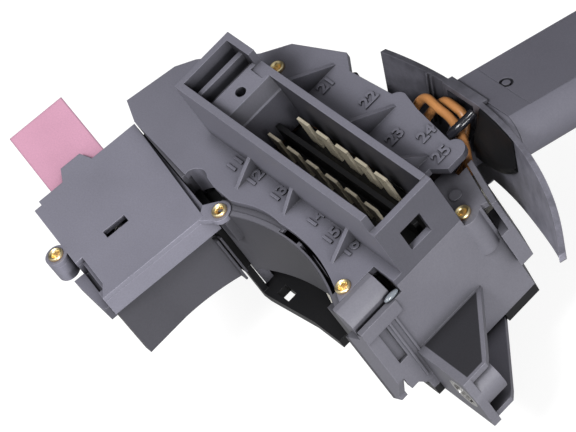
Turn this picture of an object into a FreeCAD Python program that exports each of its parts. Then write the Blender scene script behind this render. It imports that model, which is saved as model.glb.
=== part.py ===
import FreeCAD, Part
import math
import os
import Sketcher

# Combination stalk switch of a steering column, in millimetres.
# The origin is the axis of the steering column, +Z points out of the plug socket,
# the stalk runs out along +Y and the hazard tab along -X.

SIZES = {
    # heights of the main housing and of the terminal cover that closes it
    "cover_top": 41.4, "cover_plate": 2.0, "wall": 2.0, "base_plate": 3.0,
    "base_front": 31.0, "base_step_x": -15.0, "base_right": -3.8, "sight_left": -31.6, "sight_near": 33.2,
    "sight_long": 5.0, "sight_wide": 3.0, "seat_gap": 0.05,
    "running_gap": 0.3, "pin_gap": 0.05,
    # plan of the main housing
    "flank_face": 30.6, "flank_far": 75.2, "front_end": 31.6, "front_left": 19.0, "far_wall": 79.5,
    "slant_left": 17.5, "housing_left": 52.0, "wing_left": 60.0, "wing_far": 72.5, "wing_near": 46.0,
    "wing_slope": 16.0, "wing_foot": 20.0,
    # curved panel towards the column, and the opening under it
    "panel_radius": 60.0, "panel_x": -6.5, "panel_apex": 39.1, "panel_left": 33.0, "panel_wall": 1.6,
    "panel_low": 14.0, "pawl_room": 12.0,
    # gap that the lever swings in
    "gap_left": 11.5, "gap_right": 23.5, "gap_low": 9.0, "gap_high": 37.2,
    # webs, mounting lug and its bush
    "web": 1.8, "web_high": 17.6, "web_foot": 63.2, "web_out": 49.5, "web_corner": 48.4,
    "lug_face": 40.4, "lug_wall": 2.4, "lug_out": 50.9, "lug_x": 44.6, "lug_z": 9.8,
    "lug_boss": 6.3, "lug_boss_length": 9.0, "bush_outer": 4.7, "bush_bore": 3.3,
    # rivet boss, shelf and pad beside the socket
    "boss_x": 27.4, "boss_y": 71.4, "boss_radius": 4.3, "boss_top": 37.0, "boss_foot": 24.0,
    "shelf_left": 13.0, "pad_x": 21.6, "pad_y": 73.9, "pad_radius": 1.7, "pad_rise": 0.4,
    # block and fence outside the slanted far corner
    "fence_out": 4.2, "fence_top": 37.6, "fence_wall": 1.6, "side_low": 14.0, "side_top": 27.0,
    "side_right": 33.0,
    # plug socket on the terminal cover
    "socket_left": 52.0, "socket_near": 49.2, "socket_far": 69.0, "socket_wall": 2.0,
    "rim_high": 62.4, "rim_far": 57.6, "rim_end": 57.3, "key_right": 40.4, "well_left": 33.0,
    "well_floor": 38.6, "key_slot": 3.4, "key_bar": 1.6, "bar_drop": 2.6, "key_face": 58.4,
    "key_step": 53.0, "key_end": 34.6, "key_fall": 0.9, "key_lean": 1.2, "key_hole": 1.5, "key_hole_x": 37.6,
    "window_y": 54.8, "window_width": 6.8, "window_z": 44.3, "window_height": 7.4,
    # blades of the plug and the block that holds them
    "pitch": 8.26, "blade_width": 4.8, "blade_thick": 0.8, "blade_tip": 48.1, "blade_root": 36.0,
    "near_row": 56.7, "near_first": 27.4, "far_row": 64.4, "far_first": 23.9,
    "block_low": 34.4, "block_rib": 1.4, "block_rib_top": 45.0, "blade_gap": 0.05,
    # gussets that brace the socket
    "gusset": 1.3, "near_gusset_rise": 5.0, "far_gusset_rise": 9.5,
    # tubular rivets
    "rivet_head": 2.15, "rivet_shank": 1.35, "rivet_bore": 0.85, "rivet_rise": 0.8, "rivet_length": 6.0,
    "rivet_left_x": 31.4, "rivet_left_y": 34.6, "rivet_far_x": 51.4, "rivet_far_y": 73.7,
    "rivet_right_x": 19.9, "rivet_right_y": 37.7, "rivet_seat": 8.0,
    # hazard switch, in its own frame: along is towards the column, across is towards the stalk
    "hazard_turn": -9.0, "hazard_x": -82.9, "hazard_y": 5.0, "hazard_long": 44.0, "hazard_wide": 35.0,
    "hazard_top": 39.6, "hazard_low": 32.2, "hazard_lid": 1.6, "hazard_wall": 1.8,
    "ear_along": 20.3, "ear_across": 2.6, "ear_radius": 3.2, "slot_along": 26.1, "slot_across": 14.2,
    "slot_long": 7.0, "slot_wide": 2.8, "notch_deep": 2.4,
    "tab_near": 6.5, "tab_wide": 18.0, "tab_out": 29.6, "tab_in": 12.0, "tab_thick": 3.2,
    "tongue": 10.0, "tongue_reach": 4.6, "bridge_long": 3.0, "bridge_wide": 8.0, "tab_travel": 5.0,
    "spring_wire": 0.35, "spring_radius": 1.6, "spring_length": 10.0,
    # skirt that follows the column under the hazard switch
    "skirt_low": 12.5, "skirt_near_x": 40.3, "skirt_wall": 2.6, "skirt_far_x": 36.0, "skirt_far_y": 30.0,
    "skirt_near_y": -1.2, "rail": 0.6, "rail_reach": 2.2, "rail_step": 1.1, "rail_high": 30.0,
    # lever yoke and its two pins
    "pivot_x": 6.0, "pivot_y": 62.0, "pivot_pin": 2.5, "hub": 7.0, "yoke_low": 12.0, "yoke_high": 33.4,
    "cheek_left": -5.0, "cheek_right": 19.0, "root_left": 1.0, "root_right": 9.5, "yoke_near": 54.0,
    "fork_floor": 70.0, "yoke_far": 83.0, "flash_y": 78.0, "flash_z": 24.0, "flash_pin": 2.0, "eye": 5.0,
    "finger_reach": 3.0, "finger": 2.4, "nose_half": 3.6, "nose_near": 50.0, "plunger": 2.0,
    "plunger_tip": 45.6, "cam_crest": 16.1, "cam_back": 41.6, "cam_half": 7.0, "cam_notch": 1.2,
    "cam_low": 18.0, "cam_high": 28.0,
    # stalk, in its own tilted frame: x across, y along the stalk, z out of its flat face
    "stalk_x": 9.4, "stalk_y": 98.3, "stalk_z": 32.7, "stalk_tilt": -20.4,
    "stalk_left": 12.8, "stalk_groove": 10.2, "stalk_right": 14.6, "stalk_half": 7.5, "stalk_edge": 1.2,
    "stalk_under": 9.0, "stalk_length": 92.0, "stalk_shell": 2.0, "lid_thick": 1.5, "lid_start": 3.0,
    "dimple_x": -1.3, "dimple_y": 4.5, "dimple": 1.9, "dimple_pip": 1.1,
    "spigot": 6.0, "spigot_length": 32.0, "sleeve": 11.5, "sleeve_length": 30.0, "axis_x": 0.9,
    "button": 7.0, "button_out": 6.0, "button_in": 7.0, "button_travel": 3.0, "sleeve_wall": 2.2,
    # shield at the root of the stalk, in the stalk's frame
    "shield_radius": 118.1, "shield_x": -8.0, "shield_apex": 5.1, "shield_wall": 1.6,
    "shield_left": 35.0, "shield_tip": 62.7, "shield_rim": 8.5, "shield_low": 14.0, "shield_left_low": 5.0,
    "shield_deep": 19.0, "bulge_left": 12.6, "bulge_right": 1.8, "bulge": 1.6, "root_seat": 8.9,
    "shield_rib": 16.6,
    # cancelling pawl, contact carriages and the contact board
    "pawl_x": -18.0, "pawl_y": 45.0, "pawl_eye": 3.2, "pawl_pin": 1.2, "pawl_low": 5.0, "pawl_high": 11.0,
    "pawl_tip_x": -1.0, "pawl_tip_y": 36.0, "carriage_left": 22.0, "carriage_wide": 12.0,
    "carriage_long": 9.0, "carriage_low": 20.0, "carriage_high": 29.0,
    "board_low": 31.0, "board": 1.6, "board_left": 49.0, "board_right": 10.5, "board_near": 42.0,
    "board_far": 77.0,
    # leads and the strap that ties them to the yoke
    "lead": 1.25, "strap": 1.3,
    # shoulder beside the label plate
    "shoulder_left": 22.5, "shoulder_far": 44.4, "shoulder_drop": 3.8, "shoulder_flat": 1.5,
    "shoulder_radius": 6.5, "shoulder_slot": 2.0, "shoulder_right": 28.3, "flank_top": 36.6, "band_low": 32.2,
    "band_far": 43.9, "band_rise": 0.5,
    # front end of the flank, with its recess and two ribs
    "toe_left": 24.8, "toe_near": 29.6, "toe_low": 5.0, "toe_tip": 27.4, "toe_corner": 14.0,
    "recess_near": 35.2, "recess_far": 38.0, "recess_low": 18.8, "recess_deep": 1.1,
    "rib_near": 39.1, "rib_far": 41.2, "rib_low": 8.6, "rib": 0.6,
    # thin rim of the panel and the slots behind it
    "rim": 0.7, "slot_deep": 5.0, "slot_start": 11.4, "slot_break": 3.8, "slot_again": 2.4,
    # scooped notch of the plate beside the hazard switch
    "scoop_left": 48.2, "scoop_left_y": 37.6, "scoop_right": 41.5, "scoop_right_y": 39.3, "scoop": 4.2,
    "scoop_deep": 7.0, "scoop_wall": 1.0,
    # black hub beside the lever's root, and the opening where the leads enter the stalk
    "hub_left": 4.6, "hub_right": 18.0, "hub_near": 11.0, "hub_low": 9.0, "hub_high": 5.0,
    "mouth_left": 11.2, "mouth_right": 0.4, "mouth_low": 0.6, "mouth_high": 6.9,
    # lobes and recess of the label plate's outline
    "lobe_near": 74.6, "lobe_far": 82.6, "lobe_radius": 3.4, "lobe_left_x": 11.3, "lobe_left_y": 87.2,
    "corner_lobe_x": 37.0, "corner_lobe_y": 87.6, "recess_left": 46.4, "recess_right": 42.3,
    "near_gusset_a": -31.0, "near_foot_a": 41.4, "near_gusset_b": -12.5, "near_foot_b": 43.4,
    "near_gusset_c": 11.3, "near_foot_c": 40.8, "far_gusset_a": -37.3, "far_foot_a": 83.3,
    "far_gusset_b": -11.2, "far_gusset_c": 9.2, "far_foot_c": 77.4,
    "skirt_bend_x": 40.2, "skirt_bend_y": 12.0, "skirt_bend": 60.0, "cam_swing": 8.0, "stalk_start": -3.9, "stalk_round": 8.0, "ridge_from": 22.0,
    "sickle_radius": 56.0, "stem": 3.0, "stem_length": 16.0,
    # seat of the lever's root on the shield, springs, feed strip and side block
    "root_top": 1.0, "root_foot": 10.5, "coil_wire": 0.5, "coil_radius": 4.2, "coil_turns": 5.0,
    "strip_thick": 0.8, "side_left": 24.4,
}


class Size:
    """A length or an angle: its value, and the formula over the sheet that it follows."""

    def __init__(self, value, formula):
        self.value = value
        self.formula = formula

    def join(self, other, sign, value):
        return Size(value, "(" + self.formula + " " + sign + " " + formula_of(other) + ")")

    def __add__(self, other):
        return self.join(other, "+", self.value + value_of(other))

    def __sub__(self, other):
        return self.join(other, "-", self.value - value_of(other))

    def __mul__(self, other):
        return self.join(other, "*", self.value * value_of(other))

    def __truediv__(self, other):
        return self.join(other, "/", self.value / value_of(other))

    def __radd__(self, other):
        return Size(other, formula_of(other)) + self

    def __rsub__(self, other):
        return Size(other, formula_of(other)) - self

    def __rmul__(self, other):
        return Size(other, formula_of(other)) * self

    def __neg__(self):
        return Size(-self.value, "(0 - " + self.formula + ")")


def value_of(length):
    return length.value if isinstance(length, Size) else length


def formula_of(length):
    return length.formula if isinstance(length, Size) else "(" + repr(length) + ")"


class Sheet:
    """The driving dimensions, read as attributes: size.wall is the wall with its formula."""

    def __init__(self, doc, sizes):
        table = doc.addObject("Spreadsheet::Sheet", "sizes")
        for row, (name, value) in enumerate(sizes.items(), start=1):
            table.set("A" + str(row), name)
            table.set("B" + str(row), str(value))
            table.setAlias("B" + str(row), name)
            setattr(self, name, Size(value, "sizes." + name))


doc = FreeCAD.newDocument("combination_switch")
size = Sheet(doc, SIZES)
doc.recompute()


def bind(owner, path, length):
    """Set one property of a feature from a size and keep it bound to the sheet."""
    owner.setExpression(path, formula_of(length))


def new_body(label, place=(0, 0, 0), turn=None, axis=(0, 0, 1)):
    """One rigid piece, with its own frame at place, turned about axis."""
    body = doc.addObject("PartDesign::Body", label)
    body.Label = label
    body.AllowCompound = True
    turn_value = value_of(turn) if turn is not None else 0
    spot = FreeCAD.Vector(*[value_of(part) for part in place])
    body.Placement = FreeCAD.Placement(spot, FreeCAD.Rotation(FreeCAD.Vector(*axis), turn_value))
    for name, part in zip("xyz", place):
        bind(body, "Placement.Base." + name, part)
    if turn is not None:
        bind(body, "Placement.Rotation.Angle", turn)
    return body


def sketch(body, plane, at=0):
    """A sketch on one of the body's own origin planes, moved to at along the body's third axis."""
    flat = body.newObject("Sketcher::SketchObject", body.Name + "_" + plane)
    support = [part for part in body.Origin.OriginFeatures if part.Role == plane + "_Plane"][0]
    flat.AttachmentSupport = [(support, "")]
    flat.MapMode = "FlatFace"
    bind(flat, "AttachmentOffset.Base.z", -at if plane == "XZ" else at)
    return flat


def arc_centre(start, end, radius):
    """Centre of the arc from start to end: left of the way for +radius, right for -radius."""
    middle = (start + end) * 0.5
    way = end - start
    reach = math.sqrt(max(radius * radius - way.Length ** 2 / 4, 0))
    left = FreeCAD.Vector(-way.y, way.x, 0).normalize()
    return middle + left * (reach if radius > 0 else -reach)


def outline(flat, corners):
    """A closed outline. A corner is (x, y), or (x, y, radius) where an arc leads to the next."""
    spots = [FreeCAD.Vector(value_of(c[0]), value_of(c[1]), 0) for c in corners]
    ends = []
    for number, corner in enumerate(corners):
        start, end = spots[number], spots[(number + 1) % len(spots)]
        if len(corner) == 2:
            edge = flat.addGeometry(Part.LineSegment(start, end), False)
            ends.append((edge, 1, 2))
            continue
        radius = value_of(corner[2])
        centre = arc_centre(start, end, radius)
        first, last = (start, end) if radius > 0 else (end, start)
        angles = [math.atan2(spot.y - centre.y, spot.x - centre.x) for spot in (first, last)]
        if angles[1] < angles[0]:
            angles[1] += 2 * math.pi
        circle = Part.Circle(centre, FreeCAD.Vector(0, 0, 1), abs(radius))
        edge = flat.addGeometry(Part.ArcOfCircle(circle, angles[0], angles[1]), False)
        ends.append((edge, 1, 2) if radius > 0 else (edge, 2, 1))
        rule = flat.addConstraint(Sketcher.Constraint("Radius", edge, abs(radius)))
        bind(flat, "Constraints[%d]" % rule, corner[2] if radius > 0 else -corner[2])
    for number, (edge, tail, head) in enumerate(ends):
        following = ends[(number + 1) % len(ends)]
        flat.addConstraint(Sketcher.Constraint("Coincident", edge, head, following[0], following[1]))
        for kind, length, at in (("DistanceX", corners[number][0], spots[number].x),
                                 ("DistanceY", corners[number][1], spots[number].y)):
            rule = flat.addConstraint(Sketcher.Constraint(kind, -1, 1, edge, tail, at))
            bind(flat, "Constraints[%d]" % rule, length)
    return flat


def box_outline(flat, left, low, right, high):
    return outline(flat, [(left, low), (right, low), (right, high), (left, high)])


def ring(flat, x, y, radius):
    """A full circle at x, y."""
    centre = FreeCAD.Vector(value_of(x), value_of(y), 0)
    edge = flat.addGeometry(Part.Circle(centre, FreeCAD.Vector(0, 0, 1), value_of(radius)), False)
    for kind, length, at in (("DistanceX", x, centre.x), ("DistanceY", y, centre.y)):
        rule = flat.addConstraint(Sketcher.Constraint(kind, -1, 1, edge, 3, at))
        bind(flat, "Constraints[%d]" % rule, length)
    rule = flat.addConstraint(Sketcher.Constraint("Radius", edge, value_of(radius)))
    bind(flat, "Constraints[%d]" % rule, radius)
    return flat


def grow(body, kind, flat, length, against):
    feature = body.newObject("PartDesign::" + kind, body.Name + "_" + kind)
    feature.Profile = flat
    feature.Reversed = against
    bind(feature, "Length", length)
    body.Tip = feature
    return feature


def pad(body, flat, length, way=1):
    """Add the outline's prism, along the third axis, or back along it for way -1."""
    return grow(body, "Pad", flat, length, (way > 0) == ("_XZ" in flat.Name))


def pocket(body, flat, length, way=1):
    """Cut the outline's prism, along the third axis, or back along it for way -1."""
    return grow(body, "Pocket", flat, length, (way > 0) != ("_XZ" in flat.Name))


def spin(body, kind, flat, axis_name):
    """Turn a half section about the sketch's own vertical or horizontal axis."""
    feature = body.newObject("PartDesign::" + kind, body.Name + "_" + kind)
    feature.Profile = flat
    feature.ReferenceAxis = (flat, [axis_name])
    feature.Angle = 360
    body.Tip = feature
    return feature


def soften(body, radius, wanted):
    """Round the edges of the body's last feature for which wanted(edge) is true."""
    doc.recompute()
    base = body.Tip
    names = ["Edge%d" % (n + 1) for n, edge in enumerate(base.Shape.Edges) if wanted(edge)]
    if not names:
        raise ValueError("no edge to round on " + body.Label)
    feature = body.newObject("PartDesign::Fillet", body.Name + "_fillet")
    feature.Base = (base, names)
    bind(feature, "Radius", radius)
    body.Tip = feature
    return feature


def upright_at(spots, reach=0.2):
    """Picks the edges along Z that stand on one of the given plan points."""
    plan = [(value_of(x), value_of(y)) for x, y in spots]

    def wanted(edge):
        ends = [vertex.Point for vertex in edge.Vertexes]
        if len(ends) != 2 or abs(ends[0].x - ends[1].x) > reach or abs(ends[0].y - ends[1].y) > reach:
            return False
        return any(math.hypot(ends[0].x - x, ends[0].y - y) < reach for x, y in plan)

    return wanted


def cosine(angle):
    return Size(math.cos(math.radians(value_of(angle))), "cos(" + formula_of(angle) + ")")


def sine(angle):
    return Size(math.sin(math.radians(value_of(angle))), "sin(" + formula_of(angle) + ")")


def root(square):
    return Size(math.sqrt(value_of(square)), "sqrt(" + formula_of(square) + ")")


def panel_y(reach, offset=0):
    """Y of the curved panel at x = reach, on the arc of panel_radius + offset."""
    radius = size.panel_radius + offset
    across = reach - size.panel_x
    return root(radius * radius - across * across) + size.panel_apex - size.panel_radius


def hazard_far(reach):
    """Y of the hazard switch's far side at x = reach."""
    corner_x = size.hazard_x - size.hazard_wide * sine(size.hazard_turn)
    corner_y = size.hazard_y + size.hazard_wide * cosine(size.hazard_turn)
    return corner_y + (reach - corner_x) * sine(size.hazard_turn) / cosine(size.hazard_turn)


nodes = []


def keep(piece):
    """Name a finished piece as one of the part's nodes."""
    nodes.append(piece)
    return piece


seat_top = size.cover_top - size.cover_plate

# Main housing: an open box moulded in one with the curved panel that faces the column,
# the flank wall, the shelf and boss of the side rivet, the webs and the mounting lug.
housing = keep(new_body("main_housing"))
wing_edge = -size.wing_left - size.wing_slope
plan = [
    (size.front_left, size.front_end), (size.flank_face, size.front_end),
    (size.flank_face, size.flank_far), (size.slant_left, size.far_wall),
    (-size.housing_left, size.far_wall), (-size.wing_left, size.wing_far),
    (wing_edge, size.wing_far - size.wing_slope * 0.7), (wing_edge, hazard_far(wing_edge) + size.running_gap),
    (-size.panel_left, hazard_far(-size.panel_left) + size.running_gap),
    (-size.panel_left + size.wall, panel_y(size.wall - size.panel_left), -size.panel_radius),
    (size.front_left, panel_y(size.front_left)),
]
pad(housing, outline(sketch(housing, "XY", size.base_plate), plan), seat_top - size.base_plate)
cavity = [
    (size.front_left + size.wall, size.front_end + size.wall),
    (size.flank_face - size.wall, size.front_end + size.wall),
    (size.flank_face - size.wall, size.flank_far - size.wall),
    (size.slant_left - size.web / 2, size.far_wall - size.wall),
    (-size.housing_left, size.far_wall - size.wall),
    (-size.wing_left + size.wall / 2, size.wing_far - size.wall / 2),
    (wing_edge + size.wall, size.wing_far - size.wing_slope * 0.7 - size.wall / 2),
    (wing_edge + size.wall, hazard_far(wing_edge) + size.wall * 1.5),
    (-size.panel_left, hazard_far(-size.panel_left) + size.wall * 1.5),
    (-size.panel_left + size.wall * 2, panel_y(size.wall * 2 - size.panel_left, size.panel_wall),
     -size.panel_radius - size.panel_wall),
    (size.front_left + size.wall, panel_y(size.front_left + size.wall, size.panel_wall)),
]
pocket(housing, outline(sketch(housing, "XY", size.base_plate), cavity), seat_top)
# the left wing is shallower than the rest
wing = sketch(housing, "XY", size.base_plate)
box_outline(wing, wing_edge - size.wall, size.front_end, -size.housing_left - size.wall, size.far_wall)
pocket(housing, wing, size.wing_foot - size.base_plate)
# the opening under the curved panel, where the cancelling pawl reaches the column
below = sketch(housing, "XZ", size.front_end)
box_outline(below, -size.panel_left - size.wall * 2, size.base_plate, size.front_left - size.web, size.panel_low)
pocket(housing, below, size.pawl_room)
# the gap in the far wall that the lever swings in
gap = sketch(housing, "XZ", size.far_wall - size.wall * 2)
box_outline(gap, -size.gap_left, size.gap_low, size.gap_right, size.gap_high)
pocket(housing, gap, size.wall * 4)
# the shelf beside the plug socket lies lower than the cover
low_side = sketch(housing, "XY", size.boss_top)
box_outline(low_side, size.shelf_left, size.socket_far, size.flank_face + size.wall, size.far_wall + size.wall)
pocket(housing, low_side, size.cover_top - size.boss_top)
shelf_out = size.fence_out - size.fence_wall - size.running_gap * 2
lip = sketch(housing, "XY", size.boss_top - size.web)
outline(lip, [(size.slant_left, size.far_wall - size.web), (size.flank_face - size.web, size.flank_far - size.web),
              (size.flank_face, size.flank_far + shelf_out), (size.slant_left, size.far_wall + shelf_out)])
pad(housing, lip, size.web)
shelf = sketch(housing, "XY", size.boss_top - size.web)
outline(shelf, [(size.shelf_left, size.socket_far - size.wall),
                (size.flank_face - size.web / 2, size.socket_far - size.wall),
                (size.flank_face - size.web / 2, size.flank_far - size.web / 2),
                (size.slant_left, size.far_wall - size.web / 2),
                (size.shelf_left, size.far_wall - size.web / 2)])
pad(housing, shelf, size.web)
round_pad = sketch(housing, "XY", size.boss_top)
ring(round_pad, size.pad_x, size.pad_y, size.pad_radius)
pad(housing, round_pad, size.pad_rise)
# the rivet boss stands half outside the flank wall
boss = sketch(housing, "XY", size.boss_foot)
ring(boss, size.boss_x, size.boss_y, size.boss_radius)
pad(housing, boss, size.boss_top - size.boss_foot)
# seats under the cover for two rivets, and one under the hazard switch's far ear
seats = sketch(housing, "XY", seat_top)
box_outline(seats, -size.wing_left + size.wall * 1.5, size.rivet_far_y - size.rivet_head * 2,
            -size.rivet_far_x + size.rivet_head * 2, size.far_wall - size.web / 2)
box_outline(seats, size.front_left - size.web, panel_y(size.front_left, size.panel_wall) - size.web / 3,
            size.shoulder_left - size.seat_gap, size.rivet_right_y + size.rivet_head * 2)
pad(housing, seats, size.rivet_seat, -1)
ear_seat_top = size.hazard_top - size.hazard_lid - size.seat_gap
ear_seat = sketch(housing, "XY", ear_seat_top)
box_outline(ear_seat, -size.rivet_left_x - size.ear_radius, hazard_far(-size.rivet_left_x - size.ear_radius)
            + size.running_gap, -size.rivet_left_x + size.ear_radius, size.rivet_left_y + size.ear_radius)
pad(housing, ear_seat, size.rivet_seat, -1)
ear_room = sketch(housing, "XY", ear_seat_top)
ring(ear_room, -size.rivet_left_x, size.rivet_left_y, size.ear_radius + size.running_gap)
pocket(housing, ear_room, size.cover_top - ear_seat_top)
holes = sketch(housing, "XY", size.cover_top)
for spot in ((size.boss_x, size.boss_y), (-size.rivet_left_x, size.rivet_left_y),
             (-size.rivet_far_x, size.rivet_far_y), (size.rivet_right_x, size.rivet_right_y)):
    ring(holes, spot[0], spot[1], size.rivet_shank + size.seat_gap)
pocket(housing, holes, size.rivet_seat + size.cover_plate + size.rivet_rise, -1)
# narrow slots behind the thin rim of the curved panel
for slot_left, slot_right in ((-size.slot_start, -size.slot_break), (-size.slot_again, size.front_left - size.web)):
    rim_slot = sketch(housing, "XY", seat_top)
    outline(rim_slot, [
        (slot_left, panel_y(slot_left, size.rim), -size.panel_radius - size.rim),
        (slot_right, panel_y(slot_right, size.rim)), (slot_right, panel_y(slot_right, size.panel_wall + size.web / 3)),
        (slot_left, panel_y(slot_left, size.panel_wall + size.web / 3))])
    pocket(housing, rim_slot, size.slot_deep, -1)
# the wall beside the hazard switch is cut down where the cover has its scooped notch
scoop_cut = sketch(housing, "XY", seat_top - size.scoop_deep * 2)
scoop_from, scoop_to = -size.scoop_left - size.wall, -size.rivet_left_x - size.ear_radius
outline(scoop_cut, [(scoop_from, hazard_far(scoop_from) - size.web), (scoop_to, hazard_far(scoop_to) - size.web),
                    (scoop_to, hazard_far(scoop_to) + size.wall * 2), (scoop_from, hazard_far(scoop_from) + size.wall * 2)])
pocket(housing, scoop_cut, size.scoop_deep * 3)
# two three-cornered webs, the lug plate between them and its round boss
for level in (0, size.web_high - size.web):
    web = sketch(housing, "XY", level)
    outline(web, [(size.flank_face - size.wall / 2, size.lug_face), (size.web_out, size.lug_face),
                  (size.web_out, size.web_corner), (size.web_out - size.web, size.web_corner + size.web),
                  (size.flank_face - size.wall / 2, size.web_foot + size.wall / 2)])
    pad(housing, web, size.web)
lug = sketch(housing, "XZ", size.lug_face)
outline(lug, [(size.flank_face - size.wall / 2, 0), (size.lug_out, 0), (size.lug_out, size.lug_z),
              (size.web_out, size.web_high), (size.flank_face - size.wall / 2, size.web_high)])
pad(housing, lug, size.lug_wall)
lug_boss = sketch(housing, "XZ", size.lug_face)
ring(lug_boss, size.lug_x, size.lug_z, size.lug_boss)
pad(housing, lug_boss, size.lug_boss_length)
lug_bore = sketch(housing, "XZ", size.lug_face)
ring(lug_bore, size.lug_x, size.lug_z, size.bush_outer)
pocket(housing, lug_bore, size.lug_boss_length)
# the front end of the flank reaches down to the webs only behind the lug
front_cut = sketch(housing, "YZ", size.front_left - size.wall)
outline(front_cut, [(size.toe_near - size.wall, 0), (size.lug_face - size.wall, 0),
                    (size.lug_face - size.wall, size.gap_low * 0.65), (size.recess_near + size.web / 2, size.gap_low),
                    (size.front_end + size.wall * 1.1, size.gap_low), (size.front_end + size.wall, size.toe_corner),
                    (size.toe_near - size.wall, size.toe_corner)])
pocket(housing, front_cut, size.flank_face)
# a slanted toe stands in front of the flank and reaches further down
toe = sketch(housing, "XY", size.toe_low)
outline(toe, [(size.toe_left, size.toe_near), (size.flank_face, size.front_end),
              (size.flank_face, size.front_end + size.wall), (size.toe_left, size.toe_near + size.wall)])
pad(housing, toe, size.cover_top - size.shoulder_drop - size.wall - size.toe_low)
toe_cut = sketch(housing, "XZ", size.toe_near - size.wall)
outline(toe_cut, [(size.toe_tip, size.toe_low - size.wall), (size.flank_face + size.wall, size.toe_low - size.wall),
                  (size.flank_face + size.wall, size.toe_corner), (size.flank_face, size.toe_corner),
                  (size.toe_tip, size.toe_low + size.web)])
pocket(housing, toe_cut, size.front_end + size.wall * 2 - size.toe_near)
# recess and two upright ribs on the flank
recess = sketch(housing, "YZ", size.flank_face - size.recess_deep)
box_outline(recess, size.recess_near, size.recess_low, size.recess_far, size.band_low)
pocket(housing, recess, size.recess_deep * 2)
for rib_y_at, rib_low in ((size.rib_near, size.rib_low), (size.rib_far, size.rib_low + size.wall)):
    flank_rib = sketch(housing, "YZ", size.flank_face - size.web / 2)
    box_outline(flank_rib, rib_y_at - size.rib / 2, rib_low, rib_y_at + size.rib / 2, size.band_low + size.web / 2)
    pad(housing, flank_rib, size.web / 2 + size.band_rise)
band = sketch(housing, "YZ", size.flank_face - size.web / 2)
box_outline(band, size.front_end, size.band_low, size.band_far, size.flank_top)
pad(housing, band, size.web / 2 + size.band_rise)

# Bush pressed into the lug, for the mounting screw.
bush = keep(new_body("lug_bush", (size.lug_x, size.lug_face, size.lug_z)))
tube = sketch(bush, "XZ")
ring(tube, 0, 0, size.bush_outer)
ring(tube, 0, 0, size.bush_bore)
pad(bush, tube, size.lug_boss_length)

# Black base plate that closes the housing from below.
base = keep(new_body("base_plate"))
base_left = -size.skirt_far_x - size.web * 0.7
floor = [
    (base_left, size.base_front), (size.base_step_x - size.front_left, size.base_front),
    (size.base_step_x, size.base_front + size.wall), (size.base_right, size.base_front + size.wall),
    (size.base_right, size.lug_face - size.wall), (size.flank_face, size.lug_face - size.wall),
    (size.flank_face, size.flank_far), (size.slant_left, size.far_wall),
    (-size.housing_left, size.far_wall), (-size.housing_left - size.wall, size.wing_far),
    (-size.housing_left - size.wall, hazard_far(-size.housing_left - size.wall) + size.running_gap),
    (base_left, hazard_far(base_left) + size.running_gap),
]
pad(base, outline(sketch(base, "XY"), floor), size.base_plate)
end_wall = sketch(base, "XY", size.base_plate)
box_outline(end_wall, base_left, size.base_front, base_left + size.web, hazard_far(base_left + size.web))
pad(base, end_wall, size.panel_low - size.base_plate - size.running_gap)
sight = sketch(base, "XY")
box_outline(sight, size.sight_left, size.sight_near, size.sight_left + size.sight_long, size.sight_near + size.sight_wide)
pocket(base, sight, size.base_plate)
foot_clear = sketch(base, "XY")
box_outline(foot_clear, size.flank_face - size.wall / 2 - size.seat_gap, size.lug_face - size.seat_gap,
            size.flank_face + size.wall, size.web_foot + size.wall / 2 + size.seat_gap)
pocket(base, foot_clear, size.base_plate)

# Cap over the rounded shoulder beside the cover, with a dark slot behind its far edge.
shoulder = keep(new_body("shoulder_cap"))
cap_room = size.shoulder_drop + size.wall * 2
cap_low = size.cover_top - cap_room
shoulder_room = sketch(housing, "XY", cap_low)
box_outline(shoulder_room, size.shoulder_left, size.toe_near - size.wall,
            size.flank_face - size.web * 0.7, size.shoulder_far + size.shoulder_slot)
pocket(housing, shoulder_room, cap_room)
flank_rim = sketch(housing, "XY", size.flank_top)
box_outline(flank_rim, size.shoulder_left, size.toe_near - size.wall, size.flank_face + size.wall,
            size.shoulder_far + size.shoulder_slot)
pocket(housing, flank_rim, size.cover_top - size.flank_top)
roll = sketch(shoulder, "XZ", size.front_end)
outline(roll, [
    (size.shoulder_left, cap_low), (size.shoulder_right, cap_low),
    (size.shoulder_right, size.cover_top - size.shoulder_drop, size.shoulder_radius),
    (size.shoulder_left + size.shoulder_flat, size.cover_top), (size.shoulder_left, size.cover_top),
])
pad(shoulder, roll, size.shoulder_far - size.front_end - size.seat_gap)

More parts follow.
